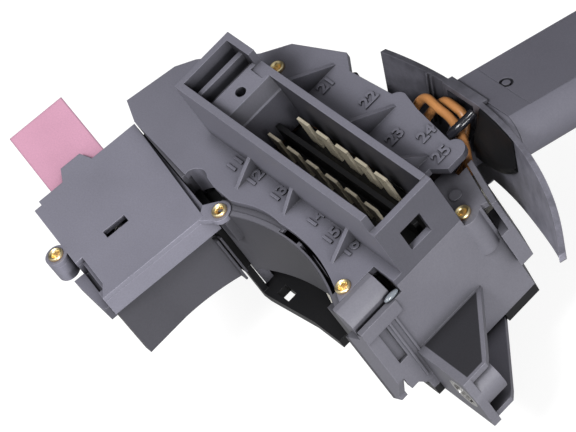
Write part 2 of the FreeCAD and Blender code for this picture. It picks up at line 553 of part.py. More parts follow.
# Terminal cover: the label plate with its lobes, the plug socket on it and eight gussets.
cover = keep(new_body("terminal_cover"))
rim_clear = size.panel_wall + size.web / 3
shoulder_edge = size.shoulder_left - size.seat_gap
plate = [
    (shoulder_edge, panel_y(shoulder_edge, rim_clear)),
    (shoulder_edge, size.shoulder_far + size.shoulder_slot),
    (size.flank_face, size.shoulder_far + size.shoulder_slot), (size.flank_face, size.socket_far),
    (size.shelf_left - size.seat_gap, size.socket_far), (size.shelf_left - size.seat_gap, size.lobe_near),
    (size.slant_left, size.lobe_near + size.web * 1.5), (size.slant_left, size.lobe_far, size.lobe_radius),
    (size.shelf_left - size.web, size.lobe_far + size.wall / 2),
    (-size.lobe_left_x + size.lobe_radius * 2, size.lobe_left_y - size.wall * 0.8),
    (-size.lobe_left_x, size.lobe_left_y, size.lobe_radius),
    (-size.lobe_left_x - size.lobe_radius, size.lobe_left_y - size.wall),
    (-size.corner_lobe_x + size.lobe_radius * 1.6, size.lobe_left_y - size.wall * 1.6),
    (-size.corner_lobe_x, size.corner_lobe_y), (-size.housing_left - size.wall, size.far_wall + size.web),
    (-size.wing_left, size.wing_far + size.web), (wing_edge, size.wing_far - size.wing_slope * 0.7 + size.web),
    (wing_edge - size.wall * 2, size.wing_far - size.wing_slope * 0.9),
    (wing_edge - size.wall * 4, size.wing_near - size.wall * 1.5),
    (wing_edge, hazard_far(wing_edge) + size.running_gap),
    (-size.scoop_left, hazard_far(-size.scoop_left) + size.running_gap * 5),
    (-size.scoop_left, size.scoop_left_y, -size.scoop), (-size.scoop_right, size.scoop_right_y),
    (size.scoop - size.scoop_right, size.scoop_right_y - size.web / 2),
    (-size.rivet_left_x + size.web, size.rivet_left_y + size.ear_radius + size.running_gap),
    (size.scoop * 3 - size.panel_left - size.scoop, size.scoop_right_y + size.web / 4, -size.panel_radius / 2),
    (-size.slot_start, panel_y(-size.slot_start, rim_clear), -size.panel_radius - rim_clear),
]
pad(cover, outline(sketch(cover, "XY", seat_top), plate), size.cover_plate)
scoop_band = sketch(cover, "XY", seat_top)
outline(scoop_band, [
    (-size.scoop_left, size.scoop_left_y, -size.scoop), (-size.scoop_right, size.scoop_right_y),
    (size.scoop_wall - size.scoop_right, size.scoop_right_y + size.scoop_wall, size.scoop + size.scoop_wall),
    (-size.scoop_left - size.scoop_wall, size.scoop_left_y + size.scoop_wall / 2)])
pad(cover, scoop_band, size.scoop_deep, -1)
socket = sketch(cover, "XY", size.cover_top)
box_outline(socket, -size.socket_left, size.socket_near, size.flank_face, size.socket_far)
pad(cover, socket, size.rim_high - size.cover_top)
well = sketch(cover, "XY", size.rim_high)
box_outline(well, -size.well_left, size.socket_near + size.socket_wall, size.flank_face - size.socket_wall,
            size.socket_far - size.socket_wall)
pocket(cover, well, size.rim_high, -1)
# rims of the far wall and of the end wall are lower than the near rim
far_rim = sketch(cover, "XY", size.rim_far)
box_outline(far_rim, -size.key_right, size.socket_far - size.socket_wall - size.key_slot / 2,
            size.flank_face - size.socket_wall, size.socket_far + size.wall)
pocket(cover, far_rim, size.rim_high)
end_rim = sketch(cover, "XY", size.rim_end)
box_outline(end_rim, size.flank_face - size.socket_wall, size.socket_near, size.flank_face + size.wall,
            size.socket_far + size.wall)
pocket(cover, end_rim, size.rim_high)
# the keyed end: two slots with a bar between them, a sloped face with a round hole, and a step
first_slot = size.socket_wall - size.socket_left
for left, deep in ((first_slot, size.key_slot * 5), (first_slot + size.key_slot + size.key_bar, size.key_slot * 2)):
    slot = sketch(cover, "XY", size.rim_high)
    box_outline(slot, left, size.socket_near + size.socket_wall, left + size.key_slot,
                size.socket_far - size.socket_wall)
    pocket(cover, slot, deep, -1)
key_edge = first_slot + size.key_slot * 2 + size.key_bar
bar = sketch(cover, "XY", size.rim_high)
box_outline(bar, first_slot, size.socket_near + size.socket_wall, key_edge, size.socket_far - size.socket_wall)
pocket(cover, bar, size.bar_drop, -1)
slope = sketch(cover, "XZ", size.socket_near + size.socket_wall)
outline(slope, [
    (key_edge, size.rim_high + size.wall), (key_edge, size.key_face),
    (-size.key_end, size.key_face - size.key_fall), (size.key_lean - size.key_end, size.key_step),
    (-size.well_left + size.wall, size.key_step - size.wall), (-size.well_left + size.wall, size.rim_high + size.wall),
])
pocket(cover, slope, size.socket_far - size.socket_near - size.socket_wall * 2)
key_hole = sketch(cover, "XY", size.rim_high)
ring(key_hole, -size.key_hole_x, (size.socket_near + size.socket_far) / 2, size.key_hole)
pocket(cover, key_hole, size.pawl_room, -1)
window = sketch(cover, "YZ", size.flank_face - size.socket_wall - size.wall)
box_outline(window, size.window_y, size.window_z, size.window_y + size.window_width,
            size.window_z + size.window_height)
pocket(cover, window, size.socket_wall * 3)
half = size.gusset / 2
for gusset_x, foot in ((size.near_gusset_a, size.near_foot_a), (size.near_gusset_b, size.near_foot_b),
                       (size.near_gusset_c, size.near_foot_c)):
    near_gusset = sketch(cover, "YZ", gusset_x - half)
    outline(near_gusset, [(foot, size.cover_top - half), (size.socket_near + half, size.cover_top - half),
                          (size.socket_near + half, size.cover_top + size.near_gusset_rise),
                          (foot, size.cover_top)])
    pad(cover, near_gusset, size.gusset)
for gusset_x, foot in ((size.far_gusset_a, size.far_foot_a), (size.far_gusset_b, size.far_foot_a),
                       (size.far_gusset_c, size.far_foot_c)):
    far_gusset = sketch(cover, "YZ", gusset_x - half)
    outline(far_gusset, [(size.socket_far - half, size.cover_top - half), (foot, size.cover_top - half),
                         (foot, size.cover_top), (size.socket_far - half, size.cover_top + size.far_gusset_rise)])
    pad(cover, far_gusset, size.gusset)
cover_holes = sketch(cover, "XY", size.cover_top)
for spot in ((-size.rivet_far_x, size.rivet_far_y), (size.rivet_right_x, size.rivet_right_y)):
    ring(cover_holes, spot[0], spot[1], size.rivet_shank + size.seat_gap)
pocket(cover, cover_holes, size.cover_plate, -1)

# Blades of the plug: two rows, tin plated at the tips.
rows = (("blades_near_row", size.near_row, size.near_first, 6), ("blades_far_row", size.far_row, size.far_first, 5))


def blade_row(flat, row_y, first, count, slack):
    """One slim rectangle for each blade of a row, grown all round by slack."""
    for number in range(int(count)):
        middle = size.pitch * number - first
        box_outline(flat, middle - size.blade_width / 2 - slack, row_y - size.blade_thick / 2 - slack,
                    middle + size.blade_width / 2 + slack, row_y + size.blade_thick / 2 + slack)
    return flat


for label, row_y, first, count in rows:
    blades = keep(new_body(label))
    pad(blades, blade_row(sketch(blades, "XY", size.blade_root), row_y, first, count, 0),
        size.blade_tip - size.blade_root)

# Terminal block at the bottom of the socket, with a rib between the two rows.
block = keep(new_body("terminal_block"))
block_plan = sketch(block, "XY", size.block_low)
box_outline(block_plan, size.seat_gap - size.well_left, size.socket_near + size.socket_wall + size.seat_gap,
            size.flank_face - size.socket_wall - size.seat_gap, size.socket_far - size.socket_wall - size.seat_gap)
pad(block, block_plan, size.well_floor - size.block_low)
block_rib = sketch(block, "XY", size.well_floor)
rib_y = (size.near_row + size.far_row - size.block_rib) / 2
box_outline(block_rib, size.seat_gap - size.well_left, rib_y, size.flank_face - size.blade_width,
            rib_y + size.block_rib)
pad(block, block_rib, size.block_rib_top - size.well_floor)
for label, row_y, first, count in rows:
    pocket(block, blade_row(sketch(block, "XY", size.well_floor), row_y, first, count, size.seat_gap),
           size.well_floor - size.block_low, -1)

# Tubular rivets: a flared head over a hollow shank.
def rivet(x, y, seat):
    body = new_body("rivet", (x, y, seat))
    half_section = outline(sketch(body, "XZ"), [
        (size.rivet_bore, -size.rivet_length), (size.rivet_shank, -size.rivet_length), (size.rivet_shank, 0),
        (size.rivet_head, 0), (size.rivet_head, size.rivet_rise / 2),
        (size.rivet_shank + size.seat_gap, size.rivet_rise), (size.rivet_bore, size.rivet_rise / 2)])
    spin(body, "Revolution", half_section, "V_Axis")
    return body


# Hazard switch, turned a little from the main housing: an open base, a lid and a sliding tab.
def ear_along_of(x, y):
    """Place along the hazard switch of a point of the part's frame."""
    return (x - size.hazard_x) * cosine(size.hazard_turn) + (y - size.hazard_y) * sine(size.hazard_turn)


def ear_across_of(x, y):
    """Place across the hazard switch of a point of the part's frame."""
    return (y - size.hazard_y) * cosine(size.hazard_turn) - (x - size.hazard_x) * sine(size.hazard_turn)


hazard_frame = ((size.hazard_x, size.hazard_y, 0), size.hazard_turn)
lid_low = size.hazard_top - size.hazard_lid
tab_top = lid_low - size.running_gap
tab_low = tab_top - size.tab_thick
hazard_base = keep(new_body("hazard_base", *hazard_frame))
tray = sketch(hazard_base, "XY", size.hazard_low)
box_outline(tray, 0, 0, size.hazard_long, size.hazard_wide)
pad(hazard_base, tray, lid_low - size.hazard_low)
ear = sketch(hazard_base, "XY", size.hazard_low)
ring(ear, size.ear_along, -size.ear_across, size.ear_radius)
pad(hazard_base, ear, lid_low - size.hazard_low)
tray_room = sketch(hazard_base, "XY", size.hazard_low + size.hazard_wall)
box_outline(tray_room, size.hazard_wall, size.hazard_wall + size.notch_deep, size.hazard_long - size.hazard_wall,
            size.hazard_wide - size.hazard_wall)
pocket(hazard_base, tray_room, size.hazard_top)
tab_door = sketch(hazard_base, "YZ", -size.hazard_wall)
box_outline(tab_door, size.tab_near - size.running_gap, tab_low - size.running_gap,
            size.tab_near + size.tab_wide + size.running_gap, size.hazard_top)
pocket(hazard_base, tab_door, size.hazard_wall * 3)
side_notch = sketch(hazard_base, "XY", size.hazard_low + size.hazard_wall)
box_outline(side_notch, size.hazard_long * 0.62, -size.web, size.hazard_long * 0.9, size.notch_deep - size.web / 2)
box_outline(side_notch, size.hazard_wall, -size.web, size.hazard_wall + size.tongue, size.notch_deep - size.web / 2)
pocket(hazard_base, side_notch, size.hazard_top)
ear_hole = sketch(hazard_base, "XY", size.hazard_low)
ring(ear_hole, size.ear_along, -size.ear_across, size.rivet_shank + size.seat_gap)
pocket(hazard_base, ear_hole, size.hazard_top)

hazard_lid = keep(new_body("hazard_cover", *hazard_frame))
lid = sketch(hazard_lid, "XY", lid_low)
tongue_near = size.tab_near + (size.tab_wide - size.tongue) / 2
outline(lid, [
    (0, size.notch_deep), (size.hazard_wall, size.notch_deep), (size.hazard_wall, 0),
    (size.hazard_long * 0.62, 0), (size.hazard_long * 0.62, size.notch_deep), (size.hazard_long * 0.9, size.notch_deep),
    (size.hazard_long, 0), (size.hazard_long, size.hazard_wide - size.web), (0, size.hazard_wide),
    (0, tongue_near + size.tongue), (-size.tongue_reach, tongue_near + size.tongue - size.web),
    (-size.tongue_reach, tongue_near + size.web), (0, tongue_near)])
pad(hazard_lid, lid, size.hazard_lid)
lid_ear = sketch(hazard_lid, "XY", lid_low)
ring(lid_ear, size.ear_along, -size.ear_across, size.ear_radius)
pad(hazard_lid, lid_ear, size.hazard_lid)
rivet_ear = (ear_along_of(-size.rivet_left_x, size.rivet_left_y), ear_across_of(-size.rivet_left_x, size.rivet_left_y))
far_ear = sketch(hazard_lid, "XY", lid_low)
ring(far_ear, rivet_ear[0], rivet_ear[1], size.ear_radius)
pad(hazard_lid, far_ear, size.hazard_lid)
lid_slot = sketch(hazard_lid, "XY", size.hazard_top)
box_outline(lid_slot, size.slot_along - size.slot_wide / 2, size.slot_across - size.slot_long / 2,
            size.slot_along + size.slot_wide / 2, size.slot_across + size.slot_long / 2)
ring(lid_slot, size.ear_along, -size.ear_across, size.rivet_shank + size.seat_gap)
ring(lid_slot, rivet_ear[0], rivet_ear[1], size.rivet_shank + size.seat_gap)
pocket(hazard_lid, lid_slot, size.hazard_lid, -1)

hazard_tab = keep(new_body("hazard_tab", *hazard_frame))
tab = sketch(hazard_tab, "XY", tab_low)
box_outline(tab, -size.tab_out, size.tab_near, size.tab_in, size.tab_near + size.tab_wide)
pad(hazard_tab, tab, size.tab_thick)
tab_stop = sketch(hazard_tab, "XY", tab_low)
box_outline(tab_stop, size.hazard_wall + size.running_gap, size.tab_near - size.wall, size.tab_in,
            size.tab_near + size.tab_wide + size.wall)
pad(hazard_tab, tab_stop, size.tab_thick)
soften(hazard_tab, size.web / 2, lambda edge: edge.BoundBox.XMax < -10)

bridge = keep(new_body("hazard_bridge", *hazard_frame))
bridge_plan = sketch(bridge, "XY", tab_low)
box_outline(bridge_plan, size.tab_in, tongue_near, size.tab_in + size.bridge_long, tongue_near + size.bridge_wide)
pad(bridge, bridge_plan, size.tab_thick - size.web / 2)

# Skirt that follows the column under the hazard switch, with two rails at its far end.
skirt = keep(new_body("column_skirt"))
skirt_plan = [
    (-size.skirt_near_x, size.skirt_near_y), (-size.skirt_bend_x, size.skirt_bend_y, -size.skirt_bend),
    (-size.skirt_far_x, size.skirt_far_y), (-size.skirt_far_x - size.skirt_wall, size.skirt_far_y, size.skirt_bend),
    (-size.skirt_bend_x - size.skirt_wall, size.skirt_bend_y), (-size.skirt_near_x - size.skirt_wall, size.skirt_near_y),
]
pad(skirt, outline(sketch(skirt, "XY", size.skirt_low), skirt_plan), size.hazard_low - size.skirt_low)
for step in (0, 1):
    rail = sketch(skirt, "XY", size.skirt_low + size.web * step)
    rail_y = size.skirt_far_y + size.rail_step * step
    box_outline(rail, -size.skirt_far_x - size.skirt_wall / 2, rail_y - size.rail, size.rail_reach - size.skirt_far_x, rail_y)
    pad(skirt, rail, size.rail_high - size.skirt_low - size.web * step)
spine = sketch(skirt, "XY", size.skirt_low + size.web)
box_outline(spine, -size.skirt_far_x - size.skirt_wall / 2, size.skirt_far_y - size.rail, -size.skirt_far_x,
            size.skirt_far_y + size.rail_step)
pad(skirt, spine, size.rail_high - size.skirt_low - size.web)

# Lever yoke: it turns about the upright pivot pin and carries the flash pin in its fork.
yoke = keep(new_body("lever_yoke"))
yoke_plan = sketch(yoke, "XY", size.yoke_low)
outline(yoke_plan, [
    (size.cheek_left, size.yoke_near), (size.pivot_x - size.nose_half, size.yoke_near),
    (size.pivot_x - size.nose_half, size.nose_near), (size.pivot_x + size.nose_half, size.nose_near),
    (size.pivot_x + size.nose_half, size.yoke_near), (size.cheek_right, size.yoke_near),
    (size.cheek_right, size.yoke_far), (size.root_right + size.running_gap, size.yoke_far),
    (size.root_right + size.running_gap, size.fork_floor), (size.root_left - size.running_gap, size.fork_floor),
    (size.root_left - size.running_gap, size.yoke_far), (size.cheek_left, size.yoke_far)])
pad(yoke, yoke_plan, size.yoke_high - size.yoke_low)
pivot_bore = sketch(yoke, "XY", size.yoke_low)
ring(pivot_bore, size.pivot_x, size.pivot_y, size.pivot_pin + size.pin_gap)
pocket(yoke, pivot_bore, size.yoke_high)
cross_bore = sketch(yoke, "YZ", size.cheek_left - size.web)
ring(cross_bore, size.flash_y, size.flash_z, size.flash_pin + size.seat_gap)
pocket(yoke, cross_bore, size.flank_face)
plunger_bore = sketch(yoke, "XZ", size.nose_near - size.web)
plunger_z = (size.cam_low + size.cam_high) / 2
ring(plunger_bore, size.pivot_x, plunger_z, size.plunger + size.seat_gap)
pocket(yoke, plunger_bore, size.plunger * 4)
finger = sketch(yoke, "XY", size.carriage_low)
box_outline(finger, size.cheek_left - size.finger_reach, size.pivot_y - size.finger / 2,
            size.cheek_left + size.web, size.pivot_y + size.finger / 2)
pad(yoke, finger, size.carriage_high - size.carriage_low)
thin_cheeks = sketch(yoke, "XZ", size.flash_y + size.eye)
box_outline(thin_cheeks, size.cheek_left - size.web, size.flash_z + size.eye, size.cheek_right + size.web, size.yoke_high)
pocket(yoke, thin_cheeks, size.yoke_far - size.fork_floor, -1)

pivot_pin = keep(new_body("pivot_pin"))
pin_plan = sketch(pivot_pin, "XY", size.base_plate)
ring(pin_plan, size.pivot_x, size.pivot_y, size.pivot_pin)
pad(pivot_pin, pin_plan, size.block_low - size.base_plate)

flash_pin = keep(new_body("flash_pin"))
cross_plan = sketch(flash_pin, "YZ", size.cheek_left)
ring(cross_plan, size.flash_y, size.flash_z, size.flash_pin)
pad(flash_pin, cross_plan, size.cheek_right - size.cheek_left)

plunger = keep(new_body("detent_plunger", (size.pivot_x, 0, plunger_z)))
plunger_half = outline(sketch(plunger, "YZ"), [
    (size.plunger_tip, 0), (size.plunger_tip + size.plunger, size.plunger),
    (size.nose_near + size.plunger * 2, size.plunger), (size.nose_near + size.plunger * 2, 0)])
spin(plunger, "Revolution", plunger_half, "H_Axis")

# Detent cam: a block on the base plate whose face has a notch for each lever position.
cam = keep(new_body("detent_cam"))
swing = size.cam_swing
cam_plan = sketch(cam, "XY", size.base_plate)
notch_near = size.pivot_y - size.cam_crest - size.cam_notch
outline(cam_plan, [
    (size.pivot_x - size.cam_half, size.cam_back), (size.pivot_x + size.cam_half, size.cam_back),
    (size.pivot_x + size.cam_half, size.pivot_y - size.cam_crest * cosine(swing * 3)),
    (size.pivot_x + size.cam_crest * sine(swing) + size.cam_notch, size.pivot_y - size.cam_crest * cosine(swing)),
    (size.pivot_x + size.cam_crest * sine(swing), size.pivot_y - (size.cam_crest + size.cam_notch) * cosine(swing)),
    (size.pivot_x + size.cam_notch, size.pivot_y - size.cam_crest - size.seat_gap),
    (size.pivot_x, notch_near),
    (size.pivot_x - size.cam_notch, size.pivot_y - size.cam_crest - size.seat_gap),
    (size.pivot_x - size.cam_crest * sine(swing), size.pivot_y - (size.cam_crest + size.cam_notch) * cosine(swing)),
    (size.pivot_x - size.cam_crest * sine(swing) - size.cam_notch, size.pivot_y - size.cam_crest * cosine(swing)),
    (size.pivot_x - size.cam_half, size.pivot_y - size.cam_crest * cosine(swing * 3))])
pad(cam, cam_plan, size.cam_high - size.base_plate)

# Stalk: everything from here to the end button is modelled in the stalk's own tilted frame.
stalk_frame = ((size.stalk_x, size.stalk_y, size.stalk_z), size.stalk_tilt, (1, 0, 0))


def shield_arc(reach, offset=0):
    """Y of the shield's arc of shield_radius + offset at x = reach, in the stalk's frame."""
    radius = size.shield_radius + offset
    across = reach - size.shield_x
    return root(radius * radius - across * across) - size.shield_apex - size.shield_radius


def from_stalk(along, up):
    """Y and Z in the part's frame of a point of the stalk's frame."""
    lean = -size.stalk_tilt
    return (size.stalk_y + along * cosine(lean) + up * sine(lean),
            size.stalk_z - along * sine(lean) + up * cosine(lean))


# Shield: a long curved plate that closes the slot of the column's trim round the stalk.
shield = keep(new_body("lever_shield", *stalk_frame))
inner_radius = size.shield_radius - size.shield_wall
seat_gap_plane = size.seat_gap - size.root_seat
band = sketch(shield, "XY", size.shield_rim)
outline(band, [
    (-size.shield_left, shield_arc(-size.shield_left), -size.shield_radius),
    (size.shield_tip, shield_arc(size.shield_tip)),
    (size.shield_tip, shield_arc(size.shield_tip, -size.shield_wall), inner_radius),
    (-size.shield_left, shield_arc(-size.shield_left, -size.shield_wall))])
pad(shield, band, size.shield_rim + size.shield_deep, -1)
trim = sketch(shield, "XZ", shield_arc(size.shield_tip) - size.wall * 2)
outline(trim, [
    (-size.shield_left - 1, -size.shield_left_low), (-size.stalk_left - size.wall, -size.shield_low + size.wall),
    (-size.stalk_left, -size.shield_deep), (-size.axis_x, -size.shield_deep),
    (size.bulge_right + size.wall, -size.shield_low), (size.ridge_from, -size.shield_low + size.web / 3, size.sickle_radius),
    (size.shield_tip, size.shield_rim - size.web), (size.shield_tip + 1, size.shield_rim - size.web),
    (size.shield_tip + 1, -size.shield_deep - 1), (-size.shield_left - 1, -size.shield_deep - 1)])
pocket(shield, trim, size.shield_tip)
seat = sketch(shield, "XZ", size.stalk_start)
box_outline(seat, -size.bulge_left, -size.stalk_half, size.bulge_right, size.shield_rim)
pad(shield, seat, size.bulge + size.shield_wall, -1)
foot = sketch(shield, "XZ", seat_gap_plane)
box_outline(foot, size.root_left - size.stalk_x, -size.root_foot, size.root_right - size.stalk_x, -size.root_top)
pad(shield, foot, size.root_seat - size.bulge * 3)

mouth_plan = (-size.mouth_left, -size.mouth_low, -size.mouth_right, size.mouth_high)
shield_mouth = sketch(shield, "XZ", -size.hub_near)
box_outline(shield_mouth, *mouth_plan)
pocket(shield, shield_mouth, size.hub_near + size.wall)
for rib_at in (size.shield_rib, size.shield_rib + size.rib * 3):
    shield_rib = sketch(shield, "XY", size.shield_rim)
    box_outline(shield_rib, -rib_at - size.rib, shield_arc(-rib_at, -size.shield_wall - size.rib), -rib_at,
                shield_arc(-rib_at, -size.shield_wall / 2))
    pad(shield, shield_rib, size.shield_rim + size.shield_low / 2, -1)

# Black hub on the inner side of the shield, beside the lever's root.
hub = keep(new_body("lever_hub", *stalk_frame))
hub_plan = sketch(hub, "XY", -size.hub_low)
outline(hub_plan, [
    (size.hub_left, -size.hub_near), (size.hub_right, -size.hub_near),
    (size.hub_right, shield_arc(size.hub_right, -size.shield_wall - size.seat_gap), size.shield_radius),
    (size.hub_left, shield_arc(size.hub_left, -size.shield_wall - size.seat_gap))])
pad(hub, hub_plan, size.hub_high + size.hub_low)

# Stalk: a moulded trough with one rounded side, closed by a flat lid.
stalk = keep(new_body("stalk_shell", *stalk_frame))
section = sketch(stalk, "XZ", size.stalk_start)
outline(section, [
    (-size.stalk_left, size.stalk_edge - size.stalk_half), (-size.stalk_left, size.stalk_half - size.stalk_edge),
    (size.stalk_edge - size.stalk_left, size.stalk_half), (size.stalk_groove, size.stalk_half, -size.stalk_round),
    (size.stalk_right, 0, -size.stalk_round), (size.stalk_under, -size.stalk_half),
    (size.stalk_edge - size.stalk_left, -size.stalk_half)])
pad(stalk, section, size.stalk_length - size.stalk_start)
spigot = sketch(stalk, "XZ", size.stalk_length)
ring(spigot, size.axis_x, 0, size.spigot)
pad(stalk, spigot, size.spigot_length)
lid_left = size.stalk_edge * 1.6 - size.stalk_left
trough = sketch(stalk, "XY", size.stalk_half)
box_outline(trough, lid_left, size.lid_start, size.stalk_groove, size.stalk_length - size.lid_start)
pocket(stalk, trough, size.lid_thick, -1)
hollow = sketch(stalk, "XY", size.stalk_half)
box_outline(hollow, lid_left + size.web, size.lid_start * 2, size.stalk_groove - size.web,
            size.stalk_length - size.lid_start * 2)
pocket(stalk, hollow, size.stalk_half * 2 - size.stalk_shell, -1)
lead_way = sketch(stalk, "XZ", size.stalk_start)
box_outline(lead_way, *mouth_plan)
pocket(stalk, lead_way, size.lid_start * 2 + size.web - size.stalk_start)
stem_bore = sketch(stalk, "XZ", size.stalk_length + size.spigot_length)
ring(stem_bore, size.axis_x, 0, size.stem + size.running_gap)
pocket(stalk, stem_bore, size.spigot_length - size.stalk_shell, -1)

lid_plate = keep(new_body("stalk_lid", *stalk_frame))
lid_plan = sketch(lid_plate, "XY", size.stalk_half - size.lid_thick)
box_outline(lid_plan, lid_left + size.seat_gap, size.lid_start + size.seat_gap, size.stalk_groove - size.seat_gap,
            size.stalk_length - size.lid_start - size.seat_gap)
pad(lid_plate, lid_plan, size.lid_thick)
dimple = sketch(lid_plate, "XY", size.stalk_half)
ring(dimple, size.dimple_x, size.dimple_y, size.dimple)
ring(dimple, size.dimple_x, size.dimple_y, size.dimple_pip)
pocket(lid_plate, dimple, size.lid_thick / 2, -1)

# Rotary sleeve and push button at the end of the stalk.
sleeve = keep(new_body("rotary_sleeve", *stalk_frame))
sleeve_start = size.stalk_length + size.running_gap
sleeve_end = sleeve_start + size.sleeve_length
collar = sketch(sleeve, "XZ", sleeve_start)
ring(collar, size.axis_x, 0, size.sleeve)
ring(collar, size.axis_x, 0, size.spigot + size.running_gap)
pad(sleeve, collar, size.sleeve_length)
mouth = sketch(sleeve, "XZ", sleeve_end)
ring(mouth, size.axis_x, 0, size.button + size.running_gap)
pocket(sleeve, mouth, size.button_in, -1)
spigot_trim = sketch(stalk, "XZ", sleeve_end + size.wall * 4)
ring(spigot_trim, size.axis_x, 0, size.spigot + size.wall)
pocket(stalk, spigot_trim, size.button_in + size.wall * 4 + size.running_gap, -1)

button = keep(new_body("end_button", *stalk_frame))
cap_plan = sketch(button, "XZ", sleeve_end - size.button_in + size.button_travel + size.running_gap)
ring(cap_plan, size.axis_x, 0, size.button)
pad(button, cap_plan, size.button_in - size.button_travel + size.button_out)
stem = sketch(button, "XZ", sleeve_end - size.button_in + size.button_travel + size.running_gap)
ring(stem, size.axis_x, 0, size.stem)
pad(button, stem, size.stem_length, -1)

# Root of the lever: its eye turns on the flash pin, its arm is seated on the shield.
arm = keep(new_body("lever_root", (size.root_left, 0, 0)))
seat_high_y, seat_high_z = from_stalk(-size.root_seat, -size.root_top)
seat_low_y, seat_low_z = from_stalk(-size.root_seat, -size.root_foot)
eye = sketch(arm, "YZ")
ring(eye, size.flash_y, size.flash_z, size.eye)
pad(arm, eye, size.root_right - size.root_left)
arm_plan = sketch(arm, "YZ")
outline(arm_plan, [
    (size.flash_y, size.flash_z - size.eye), (seat_low_y, seat_low_z), (seat_high_y, seat_high_z),
    (size.flash_y, size.flash_z + size.eye)])
pad(arm, arm_plan, size.root_right - size.root_left)
eye_bore = sketch(arm, "YZ")
ring(eye_bore, size.flash_y, size.flash_z, size.flash_pin + size.pin_gap)
pocket(arm, eye_bore, size.root_right)

# Cancelling pawl: its nose reaches through the panel's opening to the column's cam.
pawl = keep(new_body("cancel_pawl"))
pawl_plan = sketch(pawl, "XY", size.pawl_low)
outline(pawl_plan, [
    (size.pawl_x, size.pawl_y - size.pawl_eye), (size.pawl_tip_x, size.pawl_tip_y),
    (size.pawl_tip_x + size.wall, size.pawl_tip_y + size.web), (size.pawl_x, size.pawl_y + size.pawl_eye)])
pad(pawl, pawl_plan, size.pawl_high - size.pawl_low)
pawl_eye = sketch(pawl, "XY", size.pawl_low)
ring(pawl_eye, size.pawl_x, size.pawl_y, size.pawl_eye)
pad(pawl, pawl_eye, size.pawl_high - size.pawl_low)
pawl_bore = sketch(pawl, "XY", size.pawl_low)
ring(pawl_bore, size.pawl_x, size.pawl_y, size.pawl_pin + size.pin_gap)
pocket(pawl, pawl_bore, size.pawl_high)

pawl_pin = keep(new_body("pawl_pin"))
pawl_pin_plan = sketch(pawl_pin, "XY", size.base_plate)
ring(pawl_pin_plan, size.pawl_x, size.pawl_y, size.pawl_pin)
pad(pawl_pin, pawl_pin_plan, size.pawl_high + size.wall - size.base_plate)
pawl_foot = sketch(pawl_pin, "XY", size.base_plate)
ring(pawl_foot, size.pawl_x, size.pawl_y, size.pawl_eye)
pad(pawl_pin, pawl_foot, size.pawl_low - size.base_plate - size.running_gap)

# Contact carriage: the yoke's finger moves it along Y under the contact board.
carriage = keep(new_body("turn_carriage"))
carriage_right = size.cheek_left - size.web
carriage_plan = sketch(carriage, "XY", size.carriage_low)
slot_half = size.finger / 2 + size.running_gap
outline(carriage_plan, [
    (carriage_right - size.carriage_wide, size.pivot_y - size.carriage_long / 2),
    (carriage_right, size.pivot_y - size.carriage_long / 2), (carriage_right, size.pivot_y - slot_half),
    (size.cheek_left - size.finger_reach - size.running_gap, size.pivot_y - slot_half),
    (size.cheek_left - size.finger_reach - size.running_gap, size.pivot_y + slot_half),
    (carriage_right, size.pivot_y + slot_half), (carriage_right, size.pivot_y + size.carriage_long / 2),
    (carriage_right - size.carriage_wide, size.pivot_y + size.carriage_long / 2)])
pad(carriage, carriage_plan, size.carriage_high - size.carriage_low)

board = keep(new_body("contact_board"))
board_plan = sketch(board, "XY", seat_top - size.rivet_seat - size.seat_gap)
box_outline(board_plan, -size.board_left, size.board_near, -size.board_right, size.board_far)
pad(board, board_plan, size.board, -1)

# Five tubular rivets share one node.
rivets = doc.addObject("Part::Compound", "tubular_rivets")
rivets.Label = "tubular_rivets"
rivet_spots = ((-size.rivet_left_x, size.rivet_left_y, size.hazard_top), (-size.rivet_far_x, size.rivet_far_y, size.cover_top),
               (size.rivet_right_x, size.rivet_right_y, size.cover_top), (size.boss_x, size.boss_y, size.boss_top))
ear_x = size.hazard_x + size.ear_along * cosine(size.hazard_turn) + size.ear_across * sine(size.hazard_turn)
ear_y = size.hazard_y + size.ear_along * sine(size.hazard_turn) - size.ear_across * cosine(size.hazard_turn)
rivets.Links = [rivet(*spot) for spot in rivet_spots + ((ear_x, ear_y, size.hazard_top),)]
keep(rivets)


def tube_path(points):
    """Straight runs joined by tangent arcs of the largest radius that each corner leaves room for."""
    spots = [FreeCAD.Vector(*point) for point in points]
    edges, start = [], spots[0]
    for before, corner, after in zip(spots, spots[1:], spots[2:]):
        inward, outward = corner - before, after - corner
        reach = 0.45 * min(inward.Length, outward.Length)
        turn = inward.getAngle(outward)
        radius = reach / math.tan(turn / 2)
        print("bend radius %.1f mm" % radius)
        first = corner - FreeCAD.Vector(inward).normalize() * reach
        last = corner + FreeCAD.Vector(outward).normalize() * reach
        bisector = (FreeCAD.Vector(outward).normalize() - FreeCAD.Vector(inward).normalize()).normalize()
        middle = corner + bisector * (radius / math.cos(turn / 2) - radius)
        edges += [Part.LineSegment(start, first).toShape(), Part.Arc(first, middle, last).toShape()]
        start = last
    edges.append(Part.LineSegment(start, spots[-1]).toShape())
    return Part.Wire(edges)


def tube(label, points, radius):
    """A round tube of the given radius along the route."""
    path = tube_path(points)
    first = path.Edges[0]
    ring_wire = Part.Wire(Part.makeCircle(radius, first.valueAt(first.FirstParameter),
                                          first.tangentAt(first.FirstParameter)))
    piece = doc.addObject("Part::Feature", label)
    piece.Label = label
    piece.Shape = path.makePipeShell([ring_wire], True, False)
    expected = math.pi * radius ** 2 * path.Length
    print("%s: length %.1f mm, volume %.3f of section by length" % (label, path.Length, piece.Shape.Volume / expected))
    return keep(piece)


